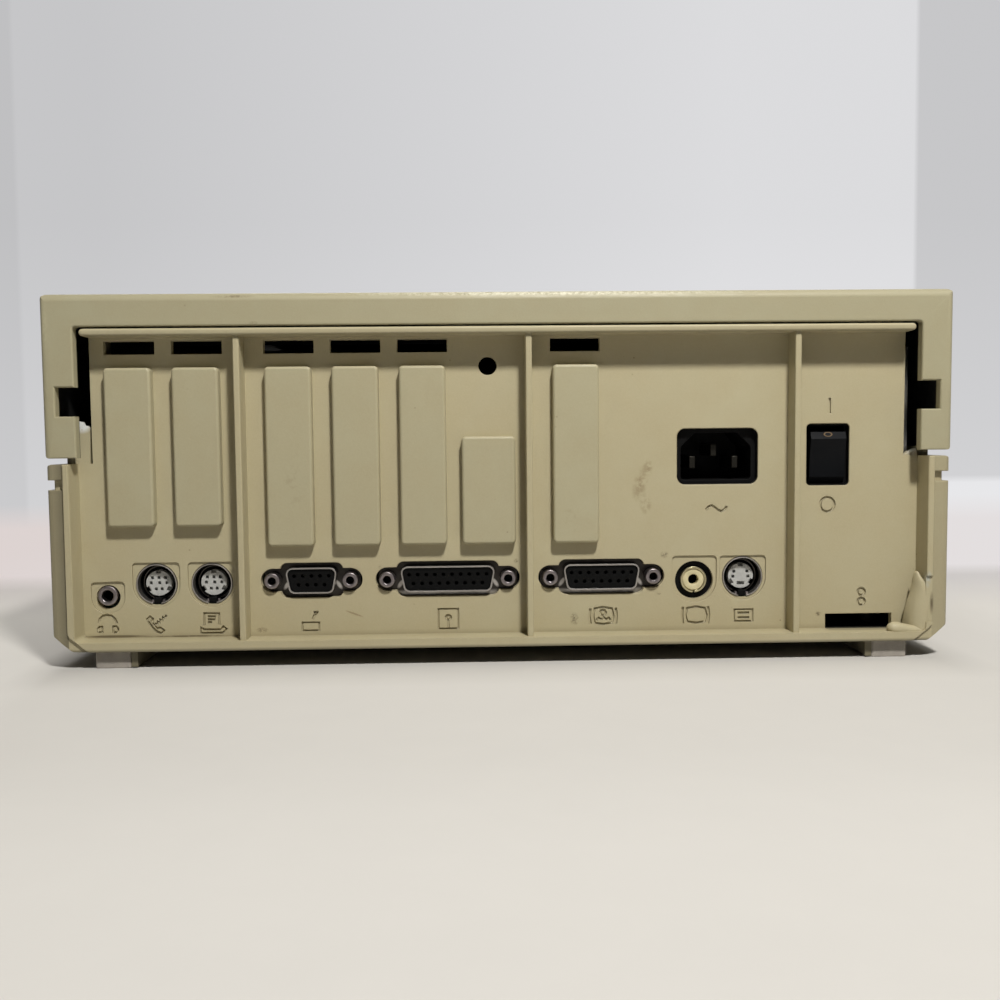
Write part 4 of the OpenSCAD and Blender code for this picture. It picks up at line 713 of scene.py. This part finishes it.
def build_materials():
    """Every finish of the object, by the record's slot names."""
    case = bpy.context.scene.computer_case
    ports = bpy.context.scene.computer_ports
    CASE_PAINT["coating"] = tuple(case.coating_colour)
    looks = {
        "base_plastic": (aged_plastic, case.base_colour, base_marks),
        "lid_plastic": (aged_plastic, case.lid_colour, lid_marks),
        "cover_plastic": (aged_plastic, case.blank_colour, blank_marks, 0.46),
        "black_plastic": (black_moulding, ports.black_colour),
        "rocker_black": (rocker_moulding, (0.0035, 0.004, 0.005)),
        "plated_steel": (bored_plate, ports.plate_colour),
        "flange_plate": (shell_plate, (0.6, 0.57, 0.54)),
        "port_plate": (collar_plate, (0.5, 0.47, 0.44)),
        "sheet_steel": (sheet_metal, (0.56, 0.56, 0.55)),
        # the blades' colour is near black, painted as the shade deep in the inlet
        "blade_brass": (dull_plate, (0.035, 0.033, 0.028), 0.45),
        "barrel_brass": (dull_plate, ports.barrel_colour, 0.28, 0.35),
        "board_green": (circuit_board, (0.022, 0.085, 0.035), (0.5, 0.46, 0.36)),
        "board_brown": (circuit_board, (0.25, 0.13, 0.045), (0.55, 0.5, 0.4), 0.2),
        "chip_black": (plain_moulding, (0.016, 0.016, 0.018), 0.5, 0.25),
        "connector_black": (black_moulding, (0.012, 0.012, 0.013), 0.45, 0.3),
        "sleeve_blue": (plain_moulding, (0.018, 0.03, 0.085), 0.25, 0.12),
        "core_yellow": (plain_moulding, (0.42, 0.3, 0.06), 0.45, 0.2, 90.0),
        "fin_aluminium": (sheet_metal, (0.62, 0.62, 0.63), 0.36),
        "crystal_can": (dull_plate, (0.62, 0.62, 0.62), 0.25, 0.2),
        "battery_sleeve": (plain_moulding, (0.5, 0.42, 0.24), 0.3, 0.08),
        "insert_grey": (plain_moulding, ports.insert_colour, 0.5, 0.1, 300.0),
        "insulator_cream": (plain_moulding, (0.6, 0.53, 0.32), 0.42, 0.1, 300.0),
        "nylon_white": (plain_moulding, (0.68, 0.66, 0.56), 0.5, 0.06),
        "lead_dark": (plain_moulding, (0.015, 0.015, 0.016), 0.55, 0.2),
        "lead_red": (plain_moulding, (0.22, 0.01, 0.008), 0.5, 0.15),
        "lens_red": (plain_moulding, (0.33, 0.012, 0.008), 0.18, 0.1),
        "cone_paper": (plain_moulding, (0.012, 0.012, 0.012), 0.85, 0.3, 500.0),
        "foot_grey": (plain_moulding, (0.33, 0.3, 0.26), 0.75, 0.15, 220.0),
        "screw_steel": (dull_plate, (0.55, 0.54, 0.5), 0.32, 0.4),
    }
    for slot, (kind, colour, *values) in looks.items():
        FINISHES[slot] = kind(slot, tuple(colour), *values).material


FINISHES = {}
CASE_PAINT = {}


# ---- stage and camera ----------------------------------------------------------------------------


class COMPUTER_OT_stage(bpy.types.Operator):
    """Lays the pale table with its backdrop and hangs the lamps"""

    bl_idname = "computer.stage"
    bl_label = "Stage"

    # the sheet, in metres: its flat part, then the stretch that turns up, and its height
    FLAT_SIZE = (5.0, 2.7, 1.0)
    FLAT_CENTRE = (0.0, -1.15, 0.0)
    RUN = (0.0, 0.14, 0.0)
    RISE = (0.0, 0.02, 2.6)
    TURN_WIDTH = 0.12

    # the lamps: place and aim
    KEY = ((0.122, -0.54, 0.575), (0.0, -0.17, 0.06))
    KEY_COLOUR = (1.0, 0.985, 0.955)
    FRONT = ((-0.1, 0.3, 0.52), (0.0, 0.17, 0.06))
    FRONT_SIZE = 0.3
    SKY_COLOUR = (0.92, 0.95, 1.0, 1.0)

    def execute(self, context):
        stage = context.scene.computer_stage
        floor = self.sheet()
        floor.data.materials.append(self.table_paper(tuple(stage.floor_colour), tuple(stage.wall_colour)))
        world = bpy.data.worlds.new("even_light")
        world.use_nodes = True
        sky = world.node_tree.nodes["Background"]
        sky.inputs["Color"].default_value = self.SKY_COLOUR
        sky.inputs["Strength"].default_value = stage.fill_strength
        context.scene.world = world
        self.lamp("key", *self.KEY, stage.key_size, stage.key_power, self.KEY_COLOUR)
        self.lamp("front", *self.FRONT, self.FRONT_SIZE, stage.front_power, (1.0, 1.0, 1.0))
        context.scene.view_settings.view_transform = "Standard"
        return {"FINISHED"}

    def sheet(self):
        """One wide sheet that lies flat under the case and turns up behind it."""
        deselect()
        bpy.ops.mesh.primitive_plane_add(size=1.0, location=self.FLAT_CENTRE)
        floor = bpy.context.active_object
        floor.name = "table"
        floor.scale = self.FLAT_SIZE
        with editing(settle(floor), "DESELECT"):
            self.choose(floor, lambda point: point.y > 0.1)
            for step in (self.RUN, self.RISE):
                bpy.ops.mesh.extrude_region_move(TRANSFORM_OT_translate={"value": step})
            self.choose(floor, lambda point: point.y > 0.3 and point.z < 0.01)
            bpy.ops.mesh.bevel(offset=self.TURN_WIDTH, segments=14, affect="EDGES")
        bpy.ops.object.shade_smooth_by_angle(angle=math.radians(60.0))
        return floor

    @staticmethod
    def choose(floor, rule):
        """Selects the edges whose two ends both follow the rule."""
        shape = bmesh.from_edit_mesh(floor.data)
        for edge in shape.edges:
            edge.select = all(rule(vert.co) for vert in edge.verts)
        bmesh.update_edit_mesh(floor.data)

    @staticmethod
    def table_paper(table_colour, wall_colour):
        """Pale paper that turns into an evenly lit backdrop behind the case."""
        paper = Finish("table_paper", table_colour, 0.85)
        x, y, z = paper.axes()
        grain = paper.noise(55.0, 4.0, 0.6)
        dark, light = tinted(table_colour, 0.985), tinted(table_colour, 1.012)
        table = paper.mix(paper.range(grain, 0.3, 0.7), dark, light)
        paper.colour(paper.dimmed(table, paper.ramp(y, -350.0, -190.0, 0.9, 1.0)))
        paper.set(Specular_IOR_Level=0.15)
        rays = paper.node("ShaderNodeLightPath").outputs
        seen = paper.either(rays["Is Camera Ray"], rays["Is Glossy Ray"])
        seen = paper.either(seen, rays["Is Transmission Ray"])
        rise = paper.ramp(z, 0.0, 20.0)
        far = paper.either(paper.ramp(y, -30.0, 50.0), rise)
        # nearer than the case the paper glows a little, most at the right, but not beneath the case
        beneath = paper.both(paper.ramp(paper.math("ABSOLUTE", x), 138.0, 152.0, 1.0, 0.0),
                             paper.ramp(y, -200.0, -174.0))
        near = paper.both(paper.math("SUBTRACT", 1.0, beneath), paper.ramp(x, 150.0, 200.0, 0.32, 0.5))
        # the backdrop is painted paler to the right and towards the table, as the light falls there, with
        # painted shade past a corner on either side
        tone = paper.both(paper.ramp(x, -310.0, 200.0, 0.84, 1.06), paper.ramp(x, -378.0, -374.0, 0.93, 1.0))
        backdrop_corner_shade = paper.either(paper.ramp(x, 354.0, 358.0, 1.0, 0.8), paper.ramp(z, 30.0, 60.0, 1.0, 0.0))
        tone = paper.both(paper.both(tone, backdrop_corner_shade), paper.ramp(z, 0.0, 250.0, 1.14, 1.0))
        wall = paper.dimmed(wall_colour, tone)
        ground = paper.mix(paper.ramp(x, -300.0, 250.0), (0.72, 0.65, 0.635), (0.77, 0.735, 0.735))
        ground = paper.mix(paper.ramp(y, -80.0, 0.0), (0.93, 0.885, 0.81), ground)
        glow = paper.node("ShaderNodeEmission")
        paper.feed(glow.inputs["Color"], paper.mix(rise, ground, wall))
        lit = paper.blend(paper.both(seen, paper.either(far, near)), paper.shader, glow)
        # a camera behind the backdrop looks through it
        behind = paper.node("ShaderNodeNewGeometry").outputs["Backfacing"]
        clear = paper.node("ShaderNodeBsdfTransparent")
        shown = paper.blend(paper.both(rays["Is Camera Ray"], behind), lit, clear)
        paper.feed(paper.tree.nodes["Material Output"].inputs["Surface"], shown.outputs[0])
        return paper.material

    @staticmethod
    def lamp(name, place, target, size, power, colour):
        light = bpy.data.lights.new(name, "AREA")
        light.shape = "DISK"
        light.size = size
        light.energy = power
        light.color = colour
        holder = bpy.data.objects.new(name, light)
        holder.location = place
        aim = Vector(target) - Vector(place)
        holder.rotation_euler = aim.to_track_quat("-Z", "Y").to_euler()
        bpy.context.scene.collection.objects.link(holder)


class COMPUTER_OT_camera(bpy.types.Operator):
    """Sets the camera behind the case, level with its rear bay"""

    bl_idname = "computer.camera"
    bl_label = "Camera"

    def execute(self, context):
        stage = context.scene.computer_stage
        roll = stage.camera_roll
        turn = Matrix.Rotation(-stage.camera_yaw, 3, "Z") @ Matrix.Rotation(-stage.camera_pitch, 3, "X")
        level, ahead, above = turn.transposed()
        right = level * math.cos(roll) + above * math.sin(roll)
        up = above * math.cos(roll) - level * math.sin(roll)
        camera = bpy.data.cameras.new("camera")
        camera.lens = stage.lens
        camera.sensor_width = 36.0
        camera.clip_start = 0.01
        holder = bpy.data.objects.new("camera", camera)
        matrix = Matrix((right, up, -ahead)).transposed().to_4x4()
        matrix.translation = Vector(stage.camera_place)
        holder.matrix_world = matrix
        context.scene.collection.objects.link(holder)
        context.scene.camera = holder
        return {"FINISHED"}


# ---- case ----------------------------------------------------------------------------------------


def base_edge(a, b):
    """Rounding, in millimetres, of each outer edge of the base."""
    middle = (a + b) / 2
    rear = max(a.y, b.y)
    side = abs(middle.x)
    low_corner = side > BAY_SIDE and middle.z < 14              # too thin there to take a rounding
    if middle.y > 0 and middle.z < 60 and side < 141 and middle.y < 173:
        return 0.0                                              # inside the front half of the case
    if 134 < middle.x < 137.2 and 11 < middle.z < 26.9:         # the torn stretch of the frame
        return 0.0
    if rear < REAR_Y + 0.05:                                    # the edge of the bay's frame, sill and lip
        if middle.z > LIP_Z:
            return 0.9
        return 0.0 if low_corner else 0.5
    if rear < PANEL_Y + 0.05:                                   # outer edges of the side panels
        return 0.0 if low_corner else 0.3
    if rear < REAR_Y + 1.25:                                    # rear edges of the ribs
        return 0.42
    on_wall = abs(a.y - WALL_Y) < 0.02 and abs(b.y - WALL_Y) < 0.02
    if on_wall and side < 131 and 9 < middle.z < 104:
        if middle.x > 50 and 52 < middle.z < 79:                # openings of the inlet and the switch
            return 0.42
        return 0.0 if on_sign(middle) else 0.24                 # other cut-outs and pockets of the wall
    if rear < WALL_Y + 0.05 and middle.z > LIP_Z:               # lower and upper edges of the lip
        return 0.0 if side > 128 else 0.6
    return 0.0


def lid_edge(a, b):
    """Rounding, in millimetres, of each outer edge of the top cover."""
    if max(a.y, b.y) < REAR_Y + 0.05:
        return 0.55
    if abs((a.z + b.z) / 2 - TOP_Z) < 0.05:
        return 0.25
    return 0.0


# Engraved signs of the rear wall: strokes as points in X and Z, in millimetres
SIGN_STROKES = [
    # headphones
    [(-130.1, 13.4), (-129.7, 14.8), (-128.7, 15.75), (-127.3, 16.05), (-125.9, 15.7), (-124.9, 14.75),
     (-124.3, 13.3)],
    [(-130.4, 10.5), (-129.0, 10.45), (-129.0, 12.3), (-129.9, 12.2), (-130.5, 11.5), (-130.4, 10.5)],
    [(-125.6, 10.4), (-124.2, 10.4), (-124.0, 11.5), (-124.6, 12.3), (-125.6, 12.3), (-125.6, 10.4)],
    # telephone handset with its cord
    [(-114.7, 14.5), (-113.7, 15.4), (-112.8, 14.6), (-113.2, 13.9), (-112.6, 12.7), (-111.5, 11.5),
     (-110.5, 11.7), (-109.3, 10.8), (-110.1, 9.9), (-111.5, 10.3), (-113.0, 11.7), (-114.1, 13.4),
     (-114.7, 14.5)],
    [(-112.1, 13.2), (-111.4, 12.7), (-111.4, 13.8), (-110.6, 13.3), (-110.6, 14.5), (-109.7, 14.0),
     (-109.7, 15.2), (-108.9, 14.8), (-108.5, 15.8)],
    # printer: sheet, its lines, and the body
    [(-96.5, 12.3), (-96.4, 16.2), (-91.6, 16.1), (-91.7, 12.3)],
    [(-95.3, 15.1), (-92.7, 15.1)], [(-95.3, 14.1), (-92.9, 14.1)], [(-95.3, 13.2), (-94.0, 13.2)],
    [(-97.6, 11.6), (-96.6, 10.9), (-91.1, 10.8), (-90.4, 11.8), (-89.3, 11.0), (-90.5, 9.75),
     (-97.6, 9.8), (-97.6, 11.6)],
    # stick controller
    [(-65.0, 12.7), (-59.6, 12.7), (-59.6, 10.1), (-65.0, 10.1), (-65.0, 12.7)],
    [(-61.7, 13.7), (-61.1, 14.9), (-60.5, 15.6)], [(-61.3, 16.0), (-60.0, 16.15), (-60.3, 15.4)],
    # diskette
    [(-21.1, 10.1), (-14.7, 10.1), (-14.7, 16.5), (-21.1, 16.5), (-21.1, 10.1)],
    [(-17.9, 12.8), (-17.9, 10.4)],
    # colour monitor
    [(29.1, 13.6), (29.6, 16.0), (32.4, 16.4), (35.2, 15.9), (35.7, 13.5), (35.2, 11.2), (32.4, 10.8),
     (29.6, 11.25), (29.1, 13.6)],
    [(28.2, 16.0), (27.95, 13.5), (28.2, 10.9)], [(36.5, 16.1), (36.75, 13.5), (36.5, 10.8)],
    [(30.2, 12.1), (30.9, 13.0), (31.9, 12.4), (32.5, 13.1), (33.4, 12.4), (34.2, 13.0), (34.6, 12.1)],
    # plain monitor
    [(59.2, 13.5), (59.8, 15.7), (62.65, 16.15), (65.5, 15.7), (66.1, 13.45), (65.5, 11.25), (62.65, 10.8),
     (59.8, 11.3), (59.2, 13.5)],
    [(58.4, 16.1), (58.1, 13.4), (58.4, 10.6)], [(66.6, 16.2), (66.95, 13.4), (66.6, 10.5)],
    # keyboard
    [(75.2, 15.0), (81.2, 15.0), (81.2, 11.2), (75.2, 11.2), (75.2, 15.0)],
    [(76.3, 13.9), (80.1, 13.9)], [(76.3, 12.35), (80.1, 12.35)],
    # power on, and alternating current
    [(105.85, 78.5), (105.85, 83.4)],
    [(65.9, 47.6), (66.6, 48.7), (67.7, 49.1), (68.7, 48.5), (69.7, 47.6), (70.8, 47.2), (71.9, 47.7),
     (72.6, 48.8)],
]
# rings of the signs: centre in X and Z, and radius
SIGN_RINGS = [(-17.9, 13.7, 0.75), (32.3, 14.6, 0.85), (105.4, 49.0, 2.35), (116.85, 20.3, 1.15),
              (116.9, 17.1, 1.15)]


SIGN_REACH = 0.85               # an edge this near to a stroke belongs to its groove


def on_sign(point):
    """Whether a point of the wall lies on one of the engraved strokes."""
    spot = Vector((point.x, point.z))
    for points in SIGN_STROKES:
        for start, end in zip(points, points[1:]):
            nearest, share = intersect_point_line(spot, Vector(start), Vector(end))
            share = min(max(share, 0.0), 1.0)
            if (Vector(start).lerp(Vector(end), share) - spot).length < SIGN_REACH:
                return True
    return any(abs((Vector((x, z)) - spot).length - r) < SIGN_REACH for x, z, r in SIGN_RINGS)


SIGN_SUNK = 0.45                # how far behind the wall's face a stroke's axis lies, in radii


def sign_tubes(radius):
    """All strokes of the signs as closed tubes on the wall's face."""
    curve = bpy.data.curves.new("sign_strokes", "CURVE")
    curve.dimensions = "3D"
    curve.bevel_depth = radius
    curve.bevel_resolution = 1
    curve.resolution_u = 2
    curve.use_fill_caps = True
    strokes = [(points, False) for points in SIGN_STROKES]
    for x, z, r in SIGN_RINGS:
        angles = [k * math.pi / 8 for k in range(16)]
        strokes.append(([(x + r * math.cos(angle), z + r * math.sin(angle)) for angle in angles], True))
    for points, closed in strokes:
        if not closed and points[0] == points[-1]:
            points, closed = points[:-1], True
        spline = curve.splines.new("POLY")
        spline.points.add(len(points) - 1)
        for slot, (x, z) in zip(spline.points, points):
            slot.co = (x * MM, WALL_Y * MM + radius * SIGN_SUNK, z * MM, 1.0)
        spline.use_cyclic_u = closed
    tubes = bpy.data.objects.new("sign_strokes", curve)
    bpy.context.scene.collection.objects.link(tubes)
    pick(tubes)
    bpy.ops.object.convert(target="MESH")
    with editing(tubes):
        bpy.ops.mesh.remove_doubles(threshold=MERGE / 2)
        bpy.ops.mesh.normals_make_consistent(inside=False)
    return tubes


class COMPUTER_OT_base_case(bpy.types.Operator):
    """Builds the base with softened edges and the engraved signs of its rear wall"""

    bl_idname = "computer.base_case"
    bl_label = "Base case"

    # the stretch of the bay's frame that was torn away: centre and size
    TORN_AWAY = ((135.78, REAR_Y + 0.075, 19.0), (2.35, 1.35, 15.0))

    def execute(self, context):
        case = context.scene.computer_case
        base = copy_node("base_case", "case_base")
        cut(base, sign_tubes(case.sign_width))
        cut(base, add_block("torn_away", *self.TORN_AWAY))
        round_chosen(base, case.edge_round, base_edge, 3)
        finish_piece(base, "base_plastic", replaced=("base_case",))
        return {"FINISHED"}


class COMPUTER_OT_top_cover(bpy.types.Operator):
    """Builds the top cover with softened edges"""

    bl_idname = "computer.top_cover"
    bl_label = "Top cover"

    def execute(self, context):
        lid = copy_node("top_cover", "case_lid")
        round_chosen(lid, context.scene.computer_case.edge_round, lid_edge, 3)
        finish_piece(lid, "lid_plastic", "cover", ("top_cover",))
        return {"FINISHED"}


class COMPUTER_OT_torn_corner(bpy.types.Operator):
    """Builds the torn flap in the bay's lower corner, with the tongue that curls along the sill"""

    bl_idname = "computer.torn_corner"
    bl_label = "Torn corner"

    # rows from the top down: height, then X and Y of the left edge, the fold and the right edge
    FLAP_ROWS = ((27.6, (132.6, -169.6), (132.9, -170.8), (133.2, -170.2)),
                 (25.2, (132.0, -169.2), (132.9, -172.0), (134.1, -171.8)),
                 (23.2, (131.9, -168.8), (133.1, -172.4), (135.7, -172.6)),
                 (20.4, (131.5, -168.4), (132.8, -172.6), (136.3, -173.1)),
                 (18.0, (130.8, -168.0), (132.2, -172.7), (136.4, -173.2)),
                 (15.6, (130.2, -167.6), (131.6, -172.8), (136.3, -173.2)),
                 (12.8, (129.9, -167.3), (131.4, -172.8), (136.0, -173.2)),
                 (10.0, (129.6, -167.0), (131.2, -172.8), (135.6, -173.2)),
                 (7.6, (129.6, -167.0), (131.2, -172.8), (135.2, -173.1)))
    # the tongue: X, Y, Z and half its thickness
    TONGUE = ((135.8, -172.3, 8.3, 0.6), (134.4, -172.2, 8.4, 1.2), (131.7, -172.1, 8.6, 1.45),
              (128.8, -171.9, 8.9, 1.8), (126.3, -171.7, 9.2, 2.15), (124.6, -171.7, 9.4, 2.05),
              (123.3, -171.7, 9.5, 1.4), (122.9, -171.7, 9.5, 0.2))

    def execute(self, context):
        corner = join("torn_corner", [self.flap(), self.tongue()])
        shade(corner, math.radians(50.0))
        finish_piece(corner, "base_plastic")
        return {"FINISHED"}

    def flap(self):
        deselect()
        rows = self.FLAP_ROWS
        bpy.ops.mesh.primitive_grid_add(x_subdivisions=2, y_subdivisions=len(rows) - 1, size=1.0)
        obj = bpy.context.active_object
        starts = [vert.co.copy() for vert in obj.data.vertices]
        with editing(obj):
            for index, start in enumerate(starts):
                row = round((0.5 - start.y) * (len(rows) - 1))
                column = round((start.x + 0.5) * 2)
                height, *places = rows[row]
                place = Vector((*places[column], height)) * MM
                shape = bmesh.from_edit_mesh(obj.data)
                for vert in shape.verts:
                    vert.select = vert.index == index
                shape.select_flush_mode()
                bmesh.update_edit_mesh(obj.data)
                bpy.ops.transform.translate(value=place - start)
            bpy.ops.mesh.select_all(action="SELECT")
            bpy.ops.mesh.normals_make_consistent(inside=False)
        thick = obj.modifiers.new("thickness", "SOLIDIFY")
        thick.thickness = 0.9 * MM
        thick.offset = 0.0
        soft = obj.modifiers.new("soft", "SUBSURF")
        soft.levels = soft.render_levels = 2
        return settle(obj)

    def tongue(self):
        curve = bpy.data.curves.new("tongue", "CURVE")
        curve.dimensions = "3D"
        curve.bevel_depth = 1.0 * MM
        curve.bevel_resolution = 5
        curve.resolution_u = 6
        curve.use_fill_caps = True
        spline = curve.splines.new("NURBS")
        spline.points.add(len(self.TONGUE) - 1)
        for slot, (x, y, z, radius) in zip(spline.points, self.TONGUE):
            slot.co = (x * MM, y * MM, z * MM, 1.0)
            slot.radius = radius
        spline.use_endpoint_u = True
        spline.order_u = 4
        holder = bpy.data.objects.new("tongue", curve)
        bpy.context.scene.collection.objects.link(holder)
        pick(holder)
        bpy.ops.object.convert(target="MESH")
        return holder


def blank_edge(a, b):
    """Rounding, in millimetres, of the edges round a blank's outer face."""
    return 0.95 if abs(a.y - BLANK_Y) < 0.02 and abs(b.y - BLANK_Y) < 0.02 else 0.0


class COMPUTER_OT_slot_covers(bpy.types.Operator):
    """Builds the seven slot blanks with their rounded fronts"""

    bl_idname = "computer.slot_covers"
    bl_label = "Slot covers"

    def execute(self, context):
        width = context.scene.computer_case.blank_round
        for number in range(1, 8):
            node = "slot_cover_%d" % number
            blank = copy_node(node, "slot_blank_%d" % number)
            round_chosen(blank, width, blank_edge, 4)
            finish_piece(blank, "cover_plastic", "blank_%d" % number, (node,))
        return {"FINISHED"}


# ---- rear ports ----------------------------------------------------------------------------------


class COMPUTER_OT_power_switch(bpy.types.Operator):
    """Builds the rocker, its frame and its terminals"""

    bl_idname = "computer.power_switch"
    bl_label = "Power switch"

    def execute(self, context):
        rounded_copy("power_rocker", "switch_rocker", "rocker_black", 0.3, 3, "rocker")
        rounded_copy("switch_body", "switch_frame", "black_plastic", 0.2)
        dress("blade_brass", "switch_terminals")
        return {"FINISHED"}


class COMPUTER_OT_mains_inlet(bpy.types.Operator):
    """Builds the mains inlet and its three blades"""

    bl_idname = "computer.mains_inlet"
    bl_label = "Mains inlet"

    def execute(self, context):
        rounded_copy("mains_inlet", "inlet_body", "black_plastic", 0.25)
        rounded_copy("inlet_blades", "inlet_pins", "blade_brass", 0.3, 3)
        return {"FINISHED"}


class COMPUTER_OT_d_connectors(bpy.types.Operator):
    """Builds the shells, insulators and jack nuts of the three D connectors"""

    bl_idname = "computer.d_connectors"
    bl_label = "D connectors"

    def execute(self, context):
        for ways in (9, 19, 15):
            shell, insulator = "d%d_shell" % ways, "d%d_insulator" % ways
            rounded_copy("dsub%d_shell" % ways, shell, "plated_steel", 0.16, look="flange_plate")
            rounded_copy("dsub%d_body" % ways, insulator, "black_plastic", 0.12)
        rounded_copy("jack_nuts", "d_nuts", "plated_steel", 0.3, 3)
        return {"FINISHED"}


class COMPUTER_OT_round_ports(bpy.types.Operator):
    """Builds the three round ports: metal ring, dark housing and pale insert"""

    bl_idname = "computer.round_ports"
    bl_label = "Round ports"

    PORTS_X = (-111.4, -93.7, 77.9)
    LOW_Z = 20.2                # the keys below the middle of the ports
    FORWARD = 1.9 * MM          # the inserts' shift towards the mouths of the wells

    def execute(self, context):
        rounded_copy("round_port_shells", "round_shells", "plated_steel", 0.18, look="port_plate")
        inserts = rounded_copy("round_port_inserts", "round_inserts", "insert_grey", 0.12)
        with editing(inserts):
            bpy.ops.transform.translate(value=(0.0, -self.FORWARD, 0.0))
        keys, tabs = [], []
        for x in self.PORTS_X:
            keys.append(add_block("key", (x, WALL_Y + 2.4, self.LOW_Z), (2.3, 2.6, 1.8), 0.2))
            for tab_x in (x - 1.75, x + 1.75):
                place = (tab_x, WALL_Y + 2.3, self.LOW_Z - 0.1)
                tabs.append(add_block("tab", place, (0.8, 1.8, 1.1), 0.25))
        finish_piece(join("port_keys", keys), "black_plastic")
        finish_piece(join("port_tabs", tabs), "plated_steel")
        dress("black_plastic", "round_port_housings")
        return {"FINISHED"}


class COMPUTER_OT_small_jacks(bpy.types.Operator):
    """Builds the phono jack and the headphone jack"""

    bl_idname = "computer.small_jacks"
    bl_label = "Phono and headphone jacks"

    def execute(self, context):
        rounded_copy("phono_barrel", "phono_ring", "barrel_brass", 0.22, 3)
        rounded_copy("phono_insulator", "phono_core", "insulator_cream", 0.25, 3)
        rounded_copy("headphone_bushing", "headphone_ring", "plated_steel", 0.35, 3)
        dress("black_plastic", "headphone_jack", "phono_body")
        return {"FINISHED"}


class COMPUTER_OT_feet(bpy.types.Operator):
    """Builds the four grey feet"""

    bl_idname = "computer.feet"
    bl_label = "Feet"

    def execute(self, context):
        rounded_copy("feet", "case_feet", "foot_grey", 0.35, 3)
        return {"FINISHED"}


# ---- inner parts ---------------------------------------------------------------------------------


class COMPUTER_OT_power_supply(bpy.types.Operator):
    """Finishes the power supply's box and the parts inside it"""

    bl_idname = "computer.power_supply"
    bl_label = "Power supply"

    def execute(self, context):
        rounded_copy("psu_cover", "supply_cover", "sheet_steel", 0.35)
        dress("sheet_steel", "psu_tray")
        dress("board_brown", "psu_board")
        dress("core_yellow", "psu_transformer")
        dress("sleeve_blue", "psu_capacitors")
        dress("fin_aluminium", "psu_heat_sinks")
        dress("screw_steel", "psu_screws")
        return {"FINISHED"}


class COMPUTER_OT_logic_board(bpy.types.Operator):
    """Finishes the logic board, its connectors and its chips"""

    bl_idname = "computer.logic_board"
    bl_label = "Logic board"

    def execute(self, context):
        dress("board_green", "logic_board")
        dress("screw_steel", "board_screws")
        dress("connector_black", "slot_connectors", "memory_connector")
        dress("chip_black", "processor", "rom_chip", "custom_chips", "memory_chips", "logic_chips")
        dress("sleeve_blue", "board_capacitors")
        dress("crystal_can", "crystal")
        dress("battery_sleeve", "clock_battery")
        dress("nylon_white", "power_header", "power_plug")
        return {"FINISHED"}


class COMPUTER_OT_speaker_and_lamp(bpy.types.Operator):
    """Finishes the speaker, the power lamp and the leads"""

    bl_idname = "computer.speaker_and_lamp"
    bl_label = "Speaker, lamp and leads"

    def execute(self, context):
        dress("sheet_steel", "speaker_frame")
        dress("cone_paper", "speaker_cone")
        dress("lens_red", "lamp", "lamp_lens")
        dress("lead_red", "lamp_lead")
        dress("lead_dark", "speaker_lead", "power_lead")
        return {"FINISHED"}


# ---- panel and run -------------------------------------------------------------------------------

STEPS = (COMPUTER_OT_camera, COMPUTER_OT_stage, COMPUTER_OT_base_case, COMPUTER_OT_top_cover,
         COMPUTER_OT_torn_corner, COMPUTER_OT_slot_covers, COMPUTER_OT_power_switch, COMPUTER_OT_mains_inlet,
         COMPUTER_OT_d_connectors, COMPUTER_OT_round_ports, COMPUTER_OT_small_jacks, COMPUTER_OT_feet,
         COMPUTER_OT_power_supply, COMPUTER_OT_logic_board, COMPUTER_OT_speaker_and_lamp)


GROUPS = (("computer_case", CaseSettings), ("computer_ports", PortSettings),
          ("computer_stage", StageSettings))


class COMPUTER_PT_panel(bpy.types.Panel):
    """Lists the sizes, the colours and the steps of the build"""

    bl_idname = "COMPUTER_PT_panel"
    bl_label = "Home computer"
    bl_space_type = "VIEW_3D"
    bl_region_type = "UI"
    bl_category = "Computer"

    def draw(self, context):
        layout = self.layout
        for name, group in GROUPS:
            box = layout.box()
            for field in group.__annotations__:
                box.prop(getattr(context.scene, name), field)
        for step in STEPS:
            layout.operator(step.bl_idname)


def register():
    for name, group in GROUPS:
        bpy.utils.register_class(group)
        setattr(bpy.types.Scene, name, PointerProperty(type=group))
    for step in STEPS:
        bpy.utils.register_class(step)
    bpy.utils.register_class(COMPUTER_PT_panel)


def unregister():
    bpy.utils.unregister_class(COMPUTER_PT_panel)
    for step in reversed(STEPS):
        bpy.utils.unregister_class(step)
    for name, group in reversed(GROUPS):
        delattr(bpy.types.Scene, name)
        bpy.utils.unregister_class(group)


def main():
    register()
    build_materials()
    for step in STEPS:
        family, name = step.bl_idname.split(".")
        getattr(getattr(bpy.ops, family), name)()


if __name__ == "__main__":
    main()
